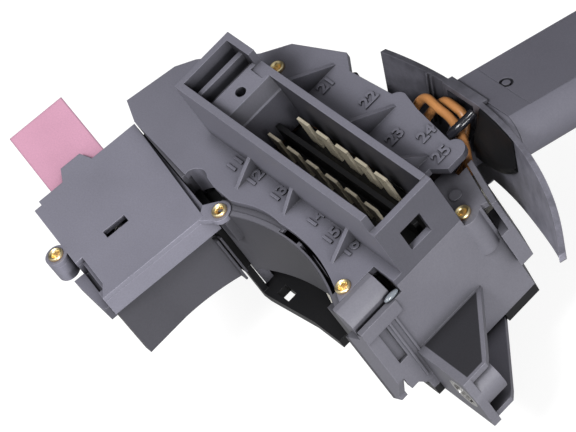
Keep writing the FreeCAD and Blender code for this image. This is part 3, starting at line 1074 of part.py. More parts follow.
# Two leads from the plug's side over the lever's root to the contact board, and the black
# strap of the cover that holds them down.
tube("lead_front", [(15.6, 74.5, 31.2), (15.6, 79.6, 31.4), (15.3, 82.6, 33.4), (14.6, 83.8, 36.2),
                    (13.7, 84.9, 37.4), (11.2, 86.6, 38.5), (6.5, 88.5, 39.3), (3.5, 89.1, 39.8), (-0.7, 89.1, 40.5),
                    (-5.7, 89.9, 40.2), (-8.7, 89.2, 38.6), (-10.3, 86.4, 36.2), (-9.9, 82.5, 34.8),
                    (-9.7, 76.4, 34.0), (-13.0, 73.4, 33.2)], size.lead.value)
tube("lead_back", [(12.4, 75.0, 31.0), (12.4, 80.0, 31.1), (12.3, 83.0, 32.0), (12.0, 84.5, 33.4),
                   (11.0, 85.7, 34.6), (8.5, 87.3, 35.7), (7.8, 90.3, 37.0), (6.3, 91.8, 39.7), (3.4, 91.8, 40.3),
                   (-0.7, 92.0, 40.0), (-5.1, 90.7, 36.6), (-7.3, 87.0, 34.0), (-6.9, 83.5, 32.4),
                   (-6.9, 78.5, 31.4), (-10.4, 70.6, 32.9)], size.lead.value)
tube("lead_strap", [(9.7, 84.9, 40.9), (10.8, 87.2, 42.1), (11.6, 91.0, 42.7), (11.9, 92.6, 43.1)], size.strap.value)

# Block and fence outside the slanted far corner of the housing.
side = keep(new_body("side_block"))
slant = (size.far_wall - size.flank_far) / (size.flank_face - size.slant_left)


def slant_y(reach, out):
    """Y at x = reach on the line that runs along the slanted wall, moved out along Y."""
    return size.flank_far + (size.flank_face - reach) * slant + out


def side_outline(flat, left, inner, outer):
    return outline(flat, [(left, slant_y(left, inner)), (size.side_right, slant_y(size.side_right, inner)),
                          (size.side_right, slant_y(size.side_right, outer)), (left, slant_y(left, outer))])


pad(side, side_outline(sketch(side, "XY", size.side_low), size.side_left, size.seat_gap, size.fence_out),
    size.side_top - size.side_low)
pad(side, side_outline(sketch(side, "XY", size.side_top), size.side_left, size.fence_out - size.fence_wall,
                       size.fence_out), size.fence_top - size.side_top)
pad(side, side_outline(sketch(side, "XY", size.yoke_high), size.slant_left, size.fence_out - size.fence_wall,
                       size.fence_out), size.fence_top - size.yoke_high)


def coil(label, centre, axis, radius, wire, length, turns):
    """A helical compression spring along axis from centre."""
    path = Part.makeHelix(length / turns, length, radius)
    first = path.Edges[0]
    start = first.valueAt(first.FirstParameter)
    ring_wire = Part.Wire(Part.makeCircle(wire, start, first.tangentAt(first.FirstParameter)))
    piece = doc.addObject("Part::Feature", label)
    piece.Label = label
    piece.Shape = Part.Wire(path).makePipeShell([ring_wire], True, True)
    piece.Placement = FreeCAD.Placement(FreeCAD.Vector(*centre), FreeCAD.Rotation(FreeCAD.Vector(0, 0, 1), axis))
    return keep(piece)


# Spring that sends the hazard tab back out, inside the hazard switch.
spring_start = size.tab_in + size.bridge_long + size.spring_wire * 2
along, across = cosine(size.hazard_turn).value, sine(size.hazard_turn).value
spring_u = (tongue_near + size.bridge_wide / 2).value
spring_centre = (size.hazard_x.value + spring_start.value * along - spring_u * across,
                 size.hazard_y.value + spring_start.value * across + spring_u * along,
                 (tab_low + size.spring_radius).value)
coil("hazard_spring", spring_centre, FreeCAD.Vector(along, across, 0), size.spring_radius.value - size.spring_wire.value,
     size.spring_wire.value, size.spring_length.value, 7)
stop = sketch(hazard_base, "XY", size.hazard_low + size.hazard_wall)
box_outline(stop, spring_start + size.spring_length + size.spring_wire * 2, tongue_near,
            spring_start + size.spring_length + size.spring_wire * 2 + size.web, tongue_near + size.bridge_wide)
pad(hazard_base, stop, size.tab_thick)

# Spring under the end button, round its stem.
button_floor = sleeve_end - size.button_in + size.coil_wire
button_y, button_z = from_stalk(button_floor.value, 0)
tilt = math.radians(size.stalk_tilt.value)
coil("button_spring", (size.stalk_x.value + size.axis_x.value, button_y.value, button_z.value),
     FreeCAD.Vector(0, math.cos(tilt), math.sin(tilt)), size.coil_radius.value, size.coil_wire.value,
     (size.button_travel - size.coil_wire * 2).value, 3)

# Feed strip from the left rivet to the contact board.
strip = keep(new_body("feed_strip"))
strip_plan = sketch(strip, "XY", seat_top - size.rivet_seat - size.seat_gap)
strip_near = size.rivet_left_y + size.ear_radius + size.seat_gap
box_outline(strip_plan, -size.rivet_left_x - size.rivet_head, strip_near,
            -size.rivet_left_x + size.rivet_head, size.board_near - size.seat_gap)
pad(strip, strip_plan, size.strip_thick, -1)

doc.recompute()
faults = []
for piece in doc.Objects:
    if "Invalid" in piece.State or "Error" in piece.State:
        faults.append(piece.Name)
for piece in doc.Objects:
    if piece.TypeId in ("PartDesign::Pocket", "PartDesign::Groove") and not faults:
        if piece.BaseFeature.Shape.Volume - piece.Shape.Volume < 0.05:
            faults.append(piece.Name + " cuts nothing")
for piece in nodes:
    if piece.Shape.isNull() or not piece.Shape.isValid():
        faults.append(piece.Label + " has no valid shape")
if faults:
    raise ValueError("failed: " + ", ".join(faults))
os.makedirs("parts", exist_ok=True)
for piece in nodes:
    piece.Shape.exportStep(os.path.join("parts", piece.Label + ".step"))
print(len(nodes), "nodes written")
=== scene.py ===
import bmesh
import bpy
import math
import numpy as np
from mathutils import Matrix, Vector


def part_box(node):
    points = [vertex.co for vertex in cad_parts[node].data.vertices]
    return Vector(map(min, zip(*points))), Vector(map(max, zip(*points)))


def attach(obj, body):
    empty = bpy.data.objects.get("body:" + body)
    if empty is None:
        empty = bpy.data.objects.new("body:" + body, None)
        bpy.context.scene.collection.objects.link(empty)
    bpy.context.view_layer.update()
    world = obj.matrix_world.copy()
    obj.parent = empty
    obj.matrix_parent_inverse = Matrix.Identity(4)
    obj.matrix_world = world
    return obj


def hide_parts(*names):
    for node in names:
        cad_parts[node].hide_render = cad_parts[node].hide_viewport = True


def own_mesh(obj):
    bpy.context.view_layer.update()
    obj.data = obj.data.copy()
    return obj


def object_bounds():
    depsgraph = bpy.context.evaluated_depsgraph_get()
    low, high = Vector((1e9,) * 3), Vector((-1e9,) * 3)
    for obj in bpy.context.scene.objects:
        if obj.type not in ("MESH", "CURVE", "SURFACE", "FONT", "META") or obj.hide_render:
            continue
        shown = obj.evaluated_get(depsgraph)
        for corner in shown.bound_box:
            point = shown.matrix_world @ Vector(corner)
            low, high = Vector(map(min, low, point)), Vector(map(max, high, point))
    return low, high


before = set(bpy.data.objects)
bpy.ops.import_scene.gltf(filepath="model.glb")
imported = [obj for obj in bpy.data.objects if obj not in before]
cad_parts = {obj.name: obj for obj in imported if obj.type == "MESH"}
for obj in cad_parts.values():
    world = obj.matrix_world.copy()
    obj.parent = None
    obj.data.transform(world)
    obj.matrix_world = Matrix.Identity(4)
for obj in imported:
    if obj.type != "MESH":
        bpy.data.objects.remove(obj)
cad_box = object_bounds()
scene = bpy.context.scene
scene.view_settings.view_transform = "Standard"

# Camera: a long lens above the column's side of the switch. It looks down at about 46 degrees,
# so that the plug socket, the label plate and the lever's shield all show.
lens = bpy.data.cameras.new("camera")
lens.sensor_width = 36.0
lens.lens = 225.5
lens.clip_end = 10.0
camera_right = (0.57787432, 0.69161079, -0.43328488)
camera_up = (-0.42709293, 0.7086771, 0.56157671)
camera_back = (0.69545158, -0.13946785, 0.70490837)
camera_place = (0.62015, -0.08273, 0.68095)
stand = np.eye(4)
stand[:3] = np.column_stack((camera_right, camera_up, camera_back, camera_place))
camera = bpy.data.objects.new("camera", lens)
camera.matrix_world = Matrix(stand.tolist())
scene.collection.objects.link(camera)
scene.camera = camera


# Floor: a sheet of pale card half a millimetre under the switch. The camera sees it as white and
# shiny surfaces see it faintly, and it keeps the soft shadow of the switch.
def node_of(tree, kind, values=None, links=None):
    """One shader node with its settings and socket values and its incoming links."""
    node = tree.nodes.new(kind)
    for name, value in (values or {}).items():
        if isinstance(name, int) or name in node.inputs:
            node.inputs[name].default_value = value
        else:
            setattr(node, name, value)
    for name, source in (links or {}).items():
        tree.links.new(source, node.inputs[name])
    return node


def maths(tree, operation, *terms):
    """The result of one sum or product. Each term is a number or another node's output."""
    numbers = {slot: term for slot, term in enumerate(terms) if isinstance(term, (int, float))}
    sources = {slot: term for slot, term in enumerate(terms) if slot not in numbers}
    return node_of(tree, "ShaderNodeMath", {"operation": operation, **numbers}, sources).outputs[0]


def ramp(tree, value, start, end, low, high):
    """A value that runs from low to high while the given one runs from start to end."""
    return node_of(tree, "ShaderNodeMapRange", {1: start, 2: end, 3: low, 4: high}, {0: value}).outputs[0]


card_reach = 3.0
card_drop = 0.0005
card_tone = 0.22
card_white = 0.86
card_in_gloss = 0.2
card_corners = [(x * card_reach, y * card_reach, cad_box[0][2] - card_drop)
                for x, y in ((-1, -1), (1, -1), (1, 1), (-1, 1))]
card_mesh = bpy.data.meshes.new("floor")
card_mesh.from_pydata(card_corners, [], [(0, 1, 2, 3)])
floor = bpy.data.objects.new("floor", card_mesh)
scene.collection.objects.link(floor)
card = bpy.data.materials.new("white_card")
card.use_nodes = True
card.node_tree.nodes.clear()
tree = card.node_tree
ray = node_of(tree, "ShaderNodeLightPath").outputs
faint = maths(tree, "MULTIPLY", ray["Is Glossy Ray"], card_in_gloss)
lift = maths(tree, "MULTIPLY", maths(tree, "MAXIMUM", ray["Is Camera Ray"], faint), card_white)
matt = node_of(tree, "ShaderNodeBsdfDiffuse", {"Color": (card_tone, card_tone, card_tone, 1)})
glow = node_of(tree, "ShaderNodeEmission", {"Color": (1, 1, 1, 1)}, {"Strength": lift})
both = node_of(tree, "ShaderNodeAddShader", {}, {0: matt.outputs[0], 1: glow.outputs[0]})
node_of(tree, "ShaderNodeOutputMaterial", {}, {"Surface": both.outputs[0]})
card_mesh.materials.append(card)

# Studio light: a pale surround that is brightest above the housing's flank, one soft box above
# the column's side and one low beside the flank.
sky_way = (0.55, -0.3, 0.78)
sky_dim, sky_bright = 0.03, 0.7
world = bpy.data.worlds.new("studio")
scene.world = world
world.use_nodes = True
world.node_tree.nodes.clear()
tree = world.node_tree
ray = node_of(tree, "ShaderNodeLightPath").outputs
towards = node_of(tree, "ShaderNodeTexCoord").outputs["Generated"]
along_sky = node_of(tree, "ShaderNodeVectorMath", {"operation": "DOT_PRODUCT", 1: sky_way}, {0: towards})
gradient = ramp(tree, along_sky.outputs["Value"], 0.0, 1.0, sky_dim, sky_bright)
level = node_of(tree, "ShaderNodeMix", {"data_type": "FLOAT", 3: 1.0},
                {0: ray["Is Camera Ray"], 2: gradient})
sky = node_of(tree, "ShaderNodeBackground", {"Color": (1, 1, 1, 1)}, {"Strength": level.outputs[0]})
node_of(tree, "ShaderNodeOutputWorld", {}, {"Surface": sky.outputs[0]})

box_target = np.array((0.0, 0.05, 0.02))
box_width = 0.4


def soft_box(name, place, power):
    """A square lamp that faces the switch: its back points from the target to its place."""
    lamp = bpy.data.lights.new(name, "AREA")
    lamp.shape = "SQUARE"
    lamp.size = box_width
    lamp.energy = power
    back = np.array(place) - box_target
    back /= np.linalg.norm(back)
    side = np.cross((0, 0, 1), back)
    side /= np.linalg.norm(side)
    stand = np.eye(4)
    stand[:3] = np.column_stack((side, np.cross(back, side), back, place))
    holder = bpy.data.objects.new(name, lamp)
    holder.matrix_world = Matrix(stand.tolist())
    scene.collection.objects.link(holder)


soft_box("key", (0.35, -0.55, 1.25), 18.0)
soft_box("side", (1.4, -0.15, 0.25), 19.0)


# Housing: one injection moulding of dark grey glass-filled plastic, with a fine grain and a painted
# highlight on its edges. Painted shade darkens the face towards the column, and a field on the lug's web.
def noise(tree, scale, detail=2.0, roughness=0.5):
    """The value of a noise that lies still on the piece."""
    place = node_of(tree, "ShaderNodeTexCoord").outputs["Object"]
    values = {"Scale": scale, "Detail": detail, "Roughness": roughness}
    return node_of(tree, "ShaderNodeTexNoise", values, {"Vector": place}).outputs["Fac"]


def moulded_group():
    """Skin of moulded plastic. Colour is the tone, times a slow and a fine noise, times painted shade that
    darkens closed corners, times one plus a painted highlight on the edge that is patchy with the slow
    noise. The edge is where the rounded normal leaves the flat one. Roughness is the gloss plus the slow
    noise, and the fine one is grain."""
    group = bpy.data.node_groups.new("moulded_plastic", "ShaderNodeTree")
    for name, kind, way in (
            ("Tone", "Color", "INPUT"), ("Gloss", "Float", "INPUT"), ("Grain", "Float", "INPUT"),
            ("Edge Light", "Float", "INPUT"), ("Edge Width", "Float", "INPUT"),
            ("Color", "Color", "OUTPUT"), ("Roughness", "Float", "OUTPUT"), ("Normal", "Vector", "OUTPUT")):
        group.interface.new_socket(name=name, in_out=way, socket_type="NodeSocket" + kind)
    given = node_of(group, "NodeGroupInput").outputs
    cloud = noise(group, 70.0, 3.0)
    grain = noise(group, 2200.0)
    mottle = maths(group, "MULTIPLY", ramp(group, cloud, 0, 1, 0.9, 1.1),
                   ramp(group, grain, 0, 1, 0.86, 1.14))
    # Painted shade: ambient occlusion darkens the tone in corners and creases.
    corner_shade_openness = node_of(group, "ShaderNodeAmbientOcclusion", {"samples": 8, "Distance": 0.005}).outputs["AO"]
    mottle_and_corner_shade = maths(group, "MULTIPLY", mottle, ramp(group, corner_shade_openness, 0.2, 0.95, 0.12, 1.0))
    rounded = node_of(group, "ShaderNodeBevel", {"samples": 6}, {"Radius": given["Edge Width"]}).outputs[0]
    flat = node_of(group, "ShaderNodeNewGeometry").outputs["Normal"]
    agree = node_of(group, "ShaderNodeVectorMath", {"operation": "DOT_PRODUCT"}, {0: rounded, 1: flat})
    # Painted highlight on the edges; an Edge Light below 0 paints shade there instead.
    edge = ramp(group, agree.outputs["Value"], 0.995, 0.86, 0.0, 1.0)
    painted_edge_highlight = maths(group, "MULTIPLY", edge, ramp(group, cloud, 0.3, 0.7, 0.35, 1.0))
    edge_highlight_gain = maths(group, "MULTIPLY_ADD", painted_edge_highlight, given["Edge Light"], 1.0)
    colour = node_of(group, "ShaderNodeVectorMath", {"operation": "SCALE"},
                     {0: given["Tone"], "Scale": maths(group, "MULTIPLY", mottle_and_corner_shade, edge_highlight_gain)})
    rough = maths(group, "ADD", ramp(group, cloud, 0, 1, -0.05, 0.05), given["Gloss"])
    bump = node_of(group, "ShaderNodeBump", {"Distance": 0.00006},
                   {"Strength": given["Grain"], "Height": grain, "Normal": rounded})
    node_of(group, "NodeGroupOutput", {},
            {"Color": colour.outputs[0], "Roughness": rough, "Normal": bump.outputs[0]})
    return group


moulded = moulded_group()


# edge_light paints a highlight on the edges, or shade where it is below 0.
def plastic(name, tone, gloss=0.45, grain=0.3, edge_light=0.5, edge_width=0.0003, shine=0.35):
    """A moulded plastic of one tone. A higher gloss value is duller."""
    material = bpy.data.materials.new(name)
    material.use_nodes = True
    tree = material.node_tree
    shader = tree.nodes["Principled BSDF"]
    shader.inputs["Specular IOR Level"].default_value = shine
    skin = node_of(tree, "ShaderNodeGroup", {
        "name": "skin", "node_tree": moulded, "Tone": (*tone, 1), "Gloss": gloss, "Grain": grain,
        "Edge Light": edge_light, "Edge Width": edge_width})
    for output, socket in (("Color", "Base Color"), ("Roughness", "Roughness"), ("Normal", "Normal")):
        tree.links.new(skin.outputs[output], shader.inputs[socket])
    return material


def shade_tone(material, tone, factor):
    """Makes the material's tone the given one times a factor that changes over the piece."""
    tree = material.node_tree
    shaded = node_of(tree, "ShaderNodeVectorMath", {"operation": "SCALE", 0: tone}, {"Scale": factor})
    tree.links.new(shaded.outputs[0], tree.nodes["skin"].inputs["Tone"])


def finish_nodes(material, *nodes):
    """Puts a finish on the CAD pieces that are made of it."""
    for node in nodes:
        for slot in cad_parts[node].material_slots:
            slot.material = material


housing_tone = (0.132, 0.13, 0.153)
housing_plastic = plastic("housing_plastic", housing_tone)
finish_nodes(housing_plastic, "main_housing", "shoulder_cap", "side_block", "detent_cam")

# Painted shade on the panel that faces the column: inside its radius the tone drops to panel_shade.
panel_axis = (-6.5, -20.9)
panel_radius = 60.0
panel_shade = 0.42
shade_end, tone_start = panel_radius + 0.05, panel_radius + 0.3
tree = housing_plastic.node_tree
place = node_of(tree, "ShaderNodeTexCoord").outputs["Object"]
across = node_of(tree, "ShaderNodeVectorMath",
                 {"operation": "MULTIPLY_ADD", 1: (1, 1, 0),
                  2: (-panel_axis[0] / 1000, -panel_axis[1] / 1000, 0)}, {0: place})
reach = node_of(tree, "ShaderNodeVectorMath", {"operation": "LENGTH"}, {0: across.outputs[0]})
panel_painted_shade = ramp(tree, reach.outputs["Value"], shade_end / 1000, tone_start / 1000, panel_shade, 1.0)

# Painted shade on the lug's upper web: a three-cornered field inside a thin rim, in the same moulding, is
# darkened as a shadowed hollow. A point lies in it where its distances to the flank, the outer end, the lug,
# the slope and the web's lower level are all above 0.
web_flank, web_end, web_lug = 0.0311, 0.0486, 0.0426
web_slope, web_slope_reach = (0.6118, 0.7910, 0), 0.06779
web_low, web_high = 0.0172, 0.0178
web_rim_blend = 0.0002
web_shade = 0.16
spot = node_of(tree, "ShaderNodeSeparateXYZ", {}, {0: place}).outputs
sloping = node_of(tree, "ShaderNodeVectorMath", {"operation": "DOT_PRODUCT", 1: web_slope}, {0: place})
inside = 1.0
for value, way, edge in ((spot["X"], 1, web_flank), (spot["X"], -1, web_end), (spot["Y"], 1, web_lug),
                         (sloping.outputs["Value"], -1, web_slope_reach), (spot["Z"], 1, web_low)):
    inside = maths(tree, "MINIMUM", inside, maths(tree, "MULTIPLY_ADD", value, way, -way * edge))
web_painted_shade = ramp(tree, inside, 0.0, web_rim_blend, 1.0, web_shade)
web_painted_shade = maths(tree, "MAXIMUM", web_painted_shade, maths(tree, "GREATER_THAN", spot["Z"], web_high))
shade_tone(housing_plastic, housing_tone, maths(tree, "MULTIPLY", web_painted_shade, panel_painted_shade))

# Base plate: the black moulded floor of the housing, held by the rivets. The terminal block that
# holds the blades is made of the same plastic.
black_plastic = plastic("black_plastic", (0.011, 0.011, 0.012), gloss=0.35, edge_light=0.3, shine=0.25)
finish_nodes(black_plastic, "base_plate", "terminal_block")


# Walls behind the column panel: thin moulded bands that follow its arc. The black one is the
# floor of the slots, and the grey one closes the gap between the panel's rim and the plate.
def ring_piece(name, grids, material, smooth=False, sharp=40):
    """A closed piece from grids of points in metres. Quads join row r to row r + 1 and column i
    to column i + 1, the last column joins the first one, and the first and last rows are caps.
    Smooth pieces keep edges that are sharper than the given degrees."""
    spots, faces = [], []
    for grid in grids:
        rows, columns = grid.shape[:2]
        row, column = np.mgrid[:rows - 1, :columns]
        beside = (column + 1) % columns
        quads = np.stack((row * columns + column, row * columns + beside,
                          (row + 1) * columns + beside, (row + 1) * columns + column), axis=-1)
        cap = len(spots) + np.arange(columns)
        faces += (len(spots) + quads.reshape(-1, 4)).tolist()
        faces += [cap[::-1].tolist(), (cap + (rows - 1) * columns).tolist()]
        spots += grid.reshape(-1, 3).tolist()
    mesh = bpy.data.meshes.new(name)
    mesh.from_pydata(spots, [], faces)
    shell = bmesh.new()
    shell.from_mesh(mesh)
    bmesh.ops.remove_doubles(shell, verts=shell.verts, dist=1e-7)
    bmesh.ops.recalc_face_normals(shell, faces=shell.faces)
    shell.to_mesh(mesh)
    shell.free()
    if smooth:
        mesh.polygons.foreach_set("use_smooth", [True] * len(mesh.polygons))
        mesh.set_sharp_from_angle(angle=math.radians(sharp))
    mesh.materials.append(material)
    piece = bpy.data.objects.new(name, mesh)
    scene.collection.objects.link(piece)
    return piece


def upright(name, plan, low, high, material):
    """A wall on a plan outline: the points (x, y) at the low and at the high level, in mm."""
    plan = np.array(plan, dtype=float)
    rings = np.stack([np.column_stack((plan, np.full(len(plan), level))) for level in (low, high)])
    return ring_piece(name, [rings / 1000], material)


def fit(piece, body):
    """The piece moves with that body."""
    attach(piece, body)


band_near, band_far = 0.9, 4.5


def panel_band(left, right, steps):
    """Plan of a band behind the panel, from x left to right and back: y is the panel axis' y plus
    the root of (panel radius + depth) squared less (x - the axis' x) squared, in mm."""
    x = np.linspace(left, right, steps)
    near, far = [np.sqrt((panel_radius + depth) ** 2 - (x - panel_axis[0]) ** 2) + panel_axis[1]
                 for depth in (band_near, band_far)]
    return np.concatenate((np.column_stack((x, near)), np.column_stack((x, far))[::-1]))


slot_plan = panel_band(-31.0, 19.0, 40)
slot_low, slot_high = 32.4, 33.2
fit(upright("slot_floor", slot_plan, slot_low, slot_high, black_plastic), "housing")
strip_plan = panel_band(-34.0, -10.5, 24)
strip_low, strip_high = 38.3, 39.2
fit(upright("rim_strip", strip_plan, strip_low, strip_high, housing_plastic), "housing")

# Upper part of the end wall: it carries the base plate's end wall up to the hazard switch, and is
# moulded in one with it.
end_left, end_right = -37.2, -35.5
end_near, end_far = 31.2, 33.9
end_low, end_high = 13.75, 32.1
end_plan = [(end_left, end_near), (end_right, end_near), (end_right, end_far), (end_left, end_far)]
fit(upright("end_wall_top", end_plan, end_low, end_high, black_plastic), "housing")

# Terminal cover: the label plate and the plug socket in one moulding, a little greyer than the housing.
# Painted shade darkens its walls on the sides that face the lug and inside the far wall.
cover_tone = (0.148, 0.146, 0.178)
cover_plastic = plastic("cover_plastic", cover_tone, gloss=0.5)
finish_nodes(cover_plastic, "terminal_cover")
lug_side_shade = 0.5
far_wall_shade = 0.3
far_wall_from = 0.058
tree = cover_plastic.node_tree
normal = node_of(tree, "ShaderNodeNewGeometry").outputs["Normal"]
facing = node_of(tree, "ShaderNodeSeparateXYZ", {}, {0: normal}).outputs
place = node_of(tree, "ShaderNodeTexCoord").outputs["Object"]
spot = node_of(tree, "ShaderNodeSeparateXYZ", {}, {0: place}).outputs
# Painted shade on walls facing the lug, and on the inside of the far wall.
lug_side_painted_shade = ramp(tree, facing["X"], 0.5, 0.8, 1.0, lug_side_shade)
far_wall_painted_shade = maths(tree, "MULTIPLY", ramp(tree, facing["Y"], -0.5, -0.8, 0.0, 1.0),
                 maths(tree, "GREATER_THAN", spot["Y"], far_wall_from))
far_wall_painted_shade = ramp(tree, far_wall_painted_shade, 0.0, 1.0, 1.0, far_wall_shade)
shade_tone(cover_plastic, cover_tone, maths(tree, "MULTIPLY", lug_side_painted_shade, far_wall_painted_shade))

# Numbers on the label plate: raised digits moulded with the cover beside each terminal. They are
# read from the hazard switch's end, so they stand turned by a quarter.
number_height = 0.0035
height_in_font = 0.69
number_rise = 0.0004
number_round = 0.00007
number_swell = 0.0001
plate_top = 0.0414
number_marks = (
    ("11", -35.7, 44.0), ("12", -27.0, 44.1), ("13", -17.0, 44.5), ("14", -1.3, 44.9), ("15", 6.7, 43.7),
    ("16", 14.2, 44.0), ("21", -32.2, 74.8), ("22", -17.4, 78.0), ("23", -1.6, 73.9), ("24", 5.6, 79.1),
    ("25", 14.1, 76.9))
spots, faces = [], []
for text, x, y in number_marks:
    letters = bpy.data.curves.new("number", "FONT")
    letters.body = text
    letters.size = number_height / height_in_font
    letters.extrude = number_rise / 2
    letters.bevel_depth = number_round
    letters.offset = number_swell
    holder = bpy.data.objects.new("number", letters)
    flat = bpy.data.meshes.new_from_object(holder)
    written = np.empty(len(flat.vertices) * 3)
    flat.vertices.foreach_get("co", written)
    along, over, up = written.reshape(-1, 3).T
    faces += [[len(spots) + corner for corner in face.vertices] for face in flat.polygons]
    level = plate_top + number_rise / 2 + up
    spots += np.column_stack((x / 1000 - over, y / 1000 + along, level)).tolist()
    bpy.data.objects.remove(holder)
    bpy.data.curves.remove(letters)
    bpy.data.meshes.remove(flat)
number_mesh = bpy.data.meshes.new("plate_numbers")
number_mesh.from_pydata(spots, [], faces)
number_mesh.materials.append(cover_plastic)
numbers = bpy.data.objects.new("plate_numbers", number_mesh)
scene.collection.objects.link(numbers)
fit(numbers, "housing")


# Knob behind the plate's far edge: the small rounded head of a pin, moulded in black plastic and
# pressed in from above.
def turned(profile, steps=40):
    """Rings of a turned shape: the profile's point (r, h) goes round as (r cos a, r sin a, h),
    with a = 2 pi i / steps."""
    radius, height = np.array(profile, dtype=float).T
    angle = 2 * np.pi * np.arange(steps) / steps
    level = np.repeat(height[:, None], steps, axis=1)
    return np.stack((np.outer(radius, np.cos(angle)), np.outer(radius, np.sin(angle)), level), axis=-1)


knob_profile = ((0.2, -3.5), (1.2, -3.5), (1.3, -0.3), (1.0, 0.0), (0.2, 0.1))
knob_centre = (-30.2, 83.7, 40.6)
knob_shape = (turned(knob_profile) + knob_centre) / 1000
fit(ring_piece("edge_knob", [knob_shape], black_plastic, smooth=True), "housing")


# Terminals: flat blades of plated brass in the socket, pressed through the black block. The feed
# strip and the hazard switch's bridge are stamped from the same metal.
def metal(name, tone, gloss, plating=1.0):
    """A drawn or stamped metal: one fine noise varies tone, gloss and surface as its streaks."""
    material = bpy.data.materials.new(name)
    material.use_nodes = True
    tree = material.node_tree
    shader = tree.nodes["Principled BSDF"]
    shader.inputs["Metallic"].default_value = plating
    streak = noise(tree, 900.0, 3.0)
    darker = (*[part * 0.8 for part in tone], 1)
    shade = node_of(tree, "ShaderNodeMix", {"data_type": "RGBA", 6: darker, 7: (*tone, 1)}, {0: streak})
    bump = node_of(tree, "ShaderNodeBump", {"Strength": 0.15, "Distance": 0.00005}, {"Height": streak})
    tree.links.new(shade.outputs[2], shader.inputs["Base Color"])
    tree.links.new(ramp(tree, streak, 0, 1, gloss * 0.7, gloss * 1.4), shader.inputs["Roughness"])
    tree.links.new(bump.outputs[0], shader.inputs["Normal"])
    return material


blade_metal = metal("blade_metal", (0.92, 0.83, 0.64), 0.3, plating=0.6)
finish_nodes(blade_metal, "blades_near_row", "blades_far_row", "hazard_bridge", "feed_strip")

# Rivets: five tubes of thin brass, rolled over into a rounded flange. The dish in the middle is painted a
# darker amber as shade where it is closed in, and the flange round it is pale.
rivet_profile = (
    (0.45, -1.1), (0.8, -0.75), (1.0, -0.1), (1.15, 0.35), (1.4, 0.68), (1.72, 0.8), (2.0, 0.68),
    (2.15, 0.38), (2.12, 0.02), (1.34, 0.0), (1.34, -5.9), (1.2, -6.0), (0.9, -5.9), (0.8, -4.5))
rivet_centres = ((-31.4, 34.6, 39.6), (-51.4, 73.7, 41.4), (19.9, 37.7, 41.4), (27.4, 71.4, 37.0),
                 (-63.26, -0.74, 39.6))
shaded_dish_brass, flange_brass = (0.75, 0.32, 0.05, 1), (0.95, 0.8, 0.47, 1)
brass = bpy.data.materials.new("rolled_brass")
brass.use_nodes = True
tree = brass.node_tree
shader = tree.nodes["Principled BSDF"]
shader.inputs["Metallic"].default_value = 1.0
# Painted shade: ambient occlusion turns the closed-in dish to the darker amber.
corner_shade_openness = node_of(tree, "ShaderNodeAmbientOcclusion", {"samples": 8, "Distance": 0.0012}).outputs["AO"]
shade = node_of(tree, "ShaderNodeMix", {"data_type": "RGBA", 6: shaded_dish_brass, 7: flange_brass},
                {0: ramp(tree, corner_shade_openness, 0.35, 0.85, 0.0, 1.0)})
tree.links.new(shade.outputs[2], shader.inputs["Base Color"])
tree.links.new(ramp(tree, noise(tree, 1500.0, 3.0), 0, 1, 0.3, 0.45), shader.inputs["Roughness"])
rivet_shapes = [(turned(rivet_profile) + centre) / 1000 for centre in rivet_centres]
rivets = ring_piece("rolled_rivets", rivet_shapes, brass, smooth=True)
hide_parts("tubular_rivets")
fit(rivets, "housing")

# Pins, bush and plunger: turned steel parts, pressed into the plastic or held between its walls.
# The turning leaves fine streaks on them.
pin_steel = metal("pin_steel", (0.62, 0.61, 0.6), 0.28)
finish_nodes(pin_steel, "lug_bush", "pivot_pin", "flash_pin", "pawl_pin", "detent_plunger")

# Clear bit: a small smooth drop of clear plastic, a little hazy, that lies in the shoulder's
# corner. It is a flattened ball.
bit_radius = 2.3
bit_tip = 0.01
bit_stretch = (0.35, 1.0, 0.75)
bit_place = (0.0297, 0.0439, 0.0374)
clear_plastic = bpy.data.materials.new("clear_plastic")
clear_plastic.use_nodes = True
tree = clear_plastic.node_tree
shader = tree.nodes["Principled BSDF"]
shader.inputs["Base Color"].default_value = (0.3, 0.33, 0.37, 1)
shader.inputs["Transmission Weight"].default_value = 0.5
tree.links.new(ramp(tree, noise(tree, 600.0), 0, 1, 0.04, 0.16), shader.inputs["Roughness"])
around = np.linspace(0, np.pi, 12)
bit_profile = np.column_stack((bit_radius * np.sin(around) + bit_tip, -np.cos(around)))
bit_shape = turned(bit_profile, steps=24) / 1000 * bit_stretch + bit_place
fit(ring_piece("clear_bit", [bit_shape], clear_plastic, smooth=True, sharp=60), "housing")

# Hazard switch: a tray and a lid of paler grey plastic, riveted to the housing and turned by
# 9 degrees. The curved skirt under it follows the column and is darker.
switch_plastic = plastic("switch_plastic", (0.18, 0.177, 0.217), gloss=0.5)
finish_nodes(switch_plastic, "hazard_base", "hazard_cover")
finish_nodes(plastic("skirt_plastic", (0.06, 0.059, 0.07)), "column_skirt")
switch_corner = (-82.9, 5.0)
switch_turn = math.radians(-9)


def from_switch(spots):
    """Plan points of the switch's own frame in the part's frame: each is turned by the switch's
    angle and moved to its corner, in mm."""
    along, over = np.array(spots, dtype=float).T
    x = switch_corner[0] + along * math.cos(switch_turn) - over * math.sin(switch_turn)
    y = switch_corner[1] + along * math.sin(switch_turn) + over * math.cos(switch_turn)
    return np.column_stack((x, y))


# Neck of the lid's far ear: it joins the ear round its rivet to the lid's corner, and is moulded
# in one with the lid.
neck_plan = from_switch(((40.5, 34.9), (44, 31.5), (47.3, 34.6), (45.0, 35.2), (44.1, 36.5), (43.3, 38.9)))
neck_low, neck_high = 38.05, 39.58
fit(upright("lid_ear_neck", neck_plan, neck_low, neck_high, switch_plastic), "housing")

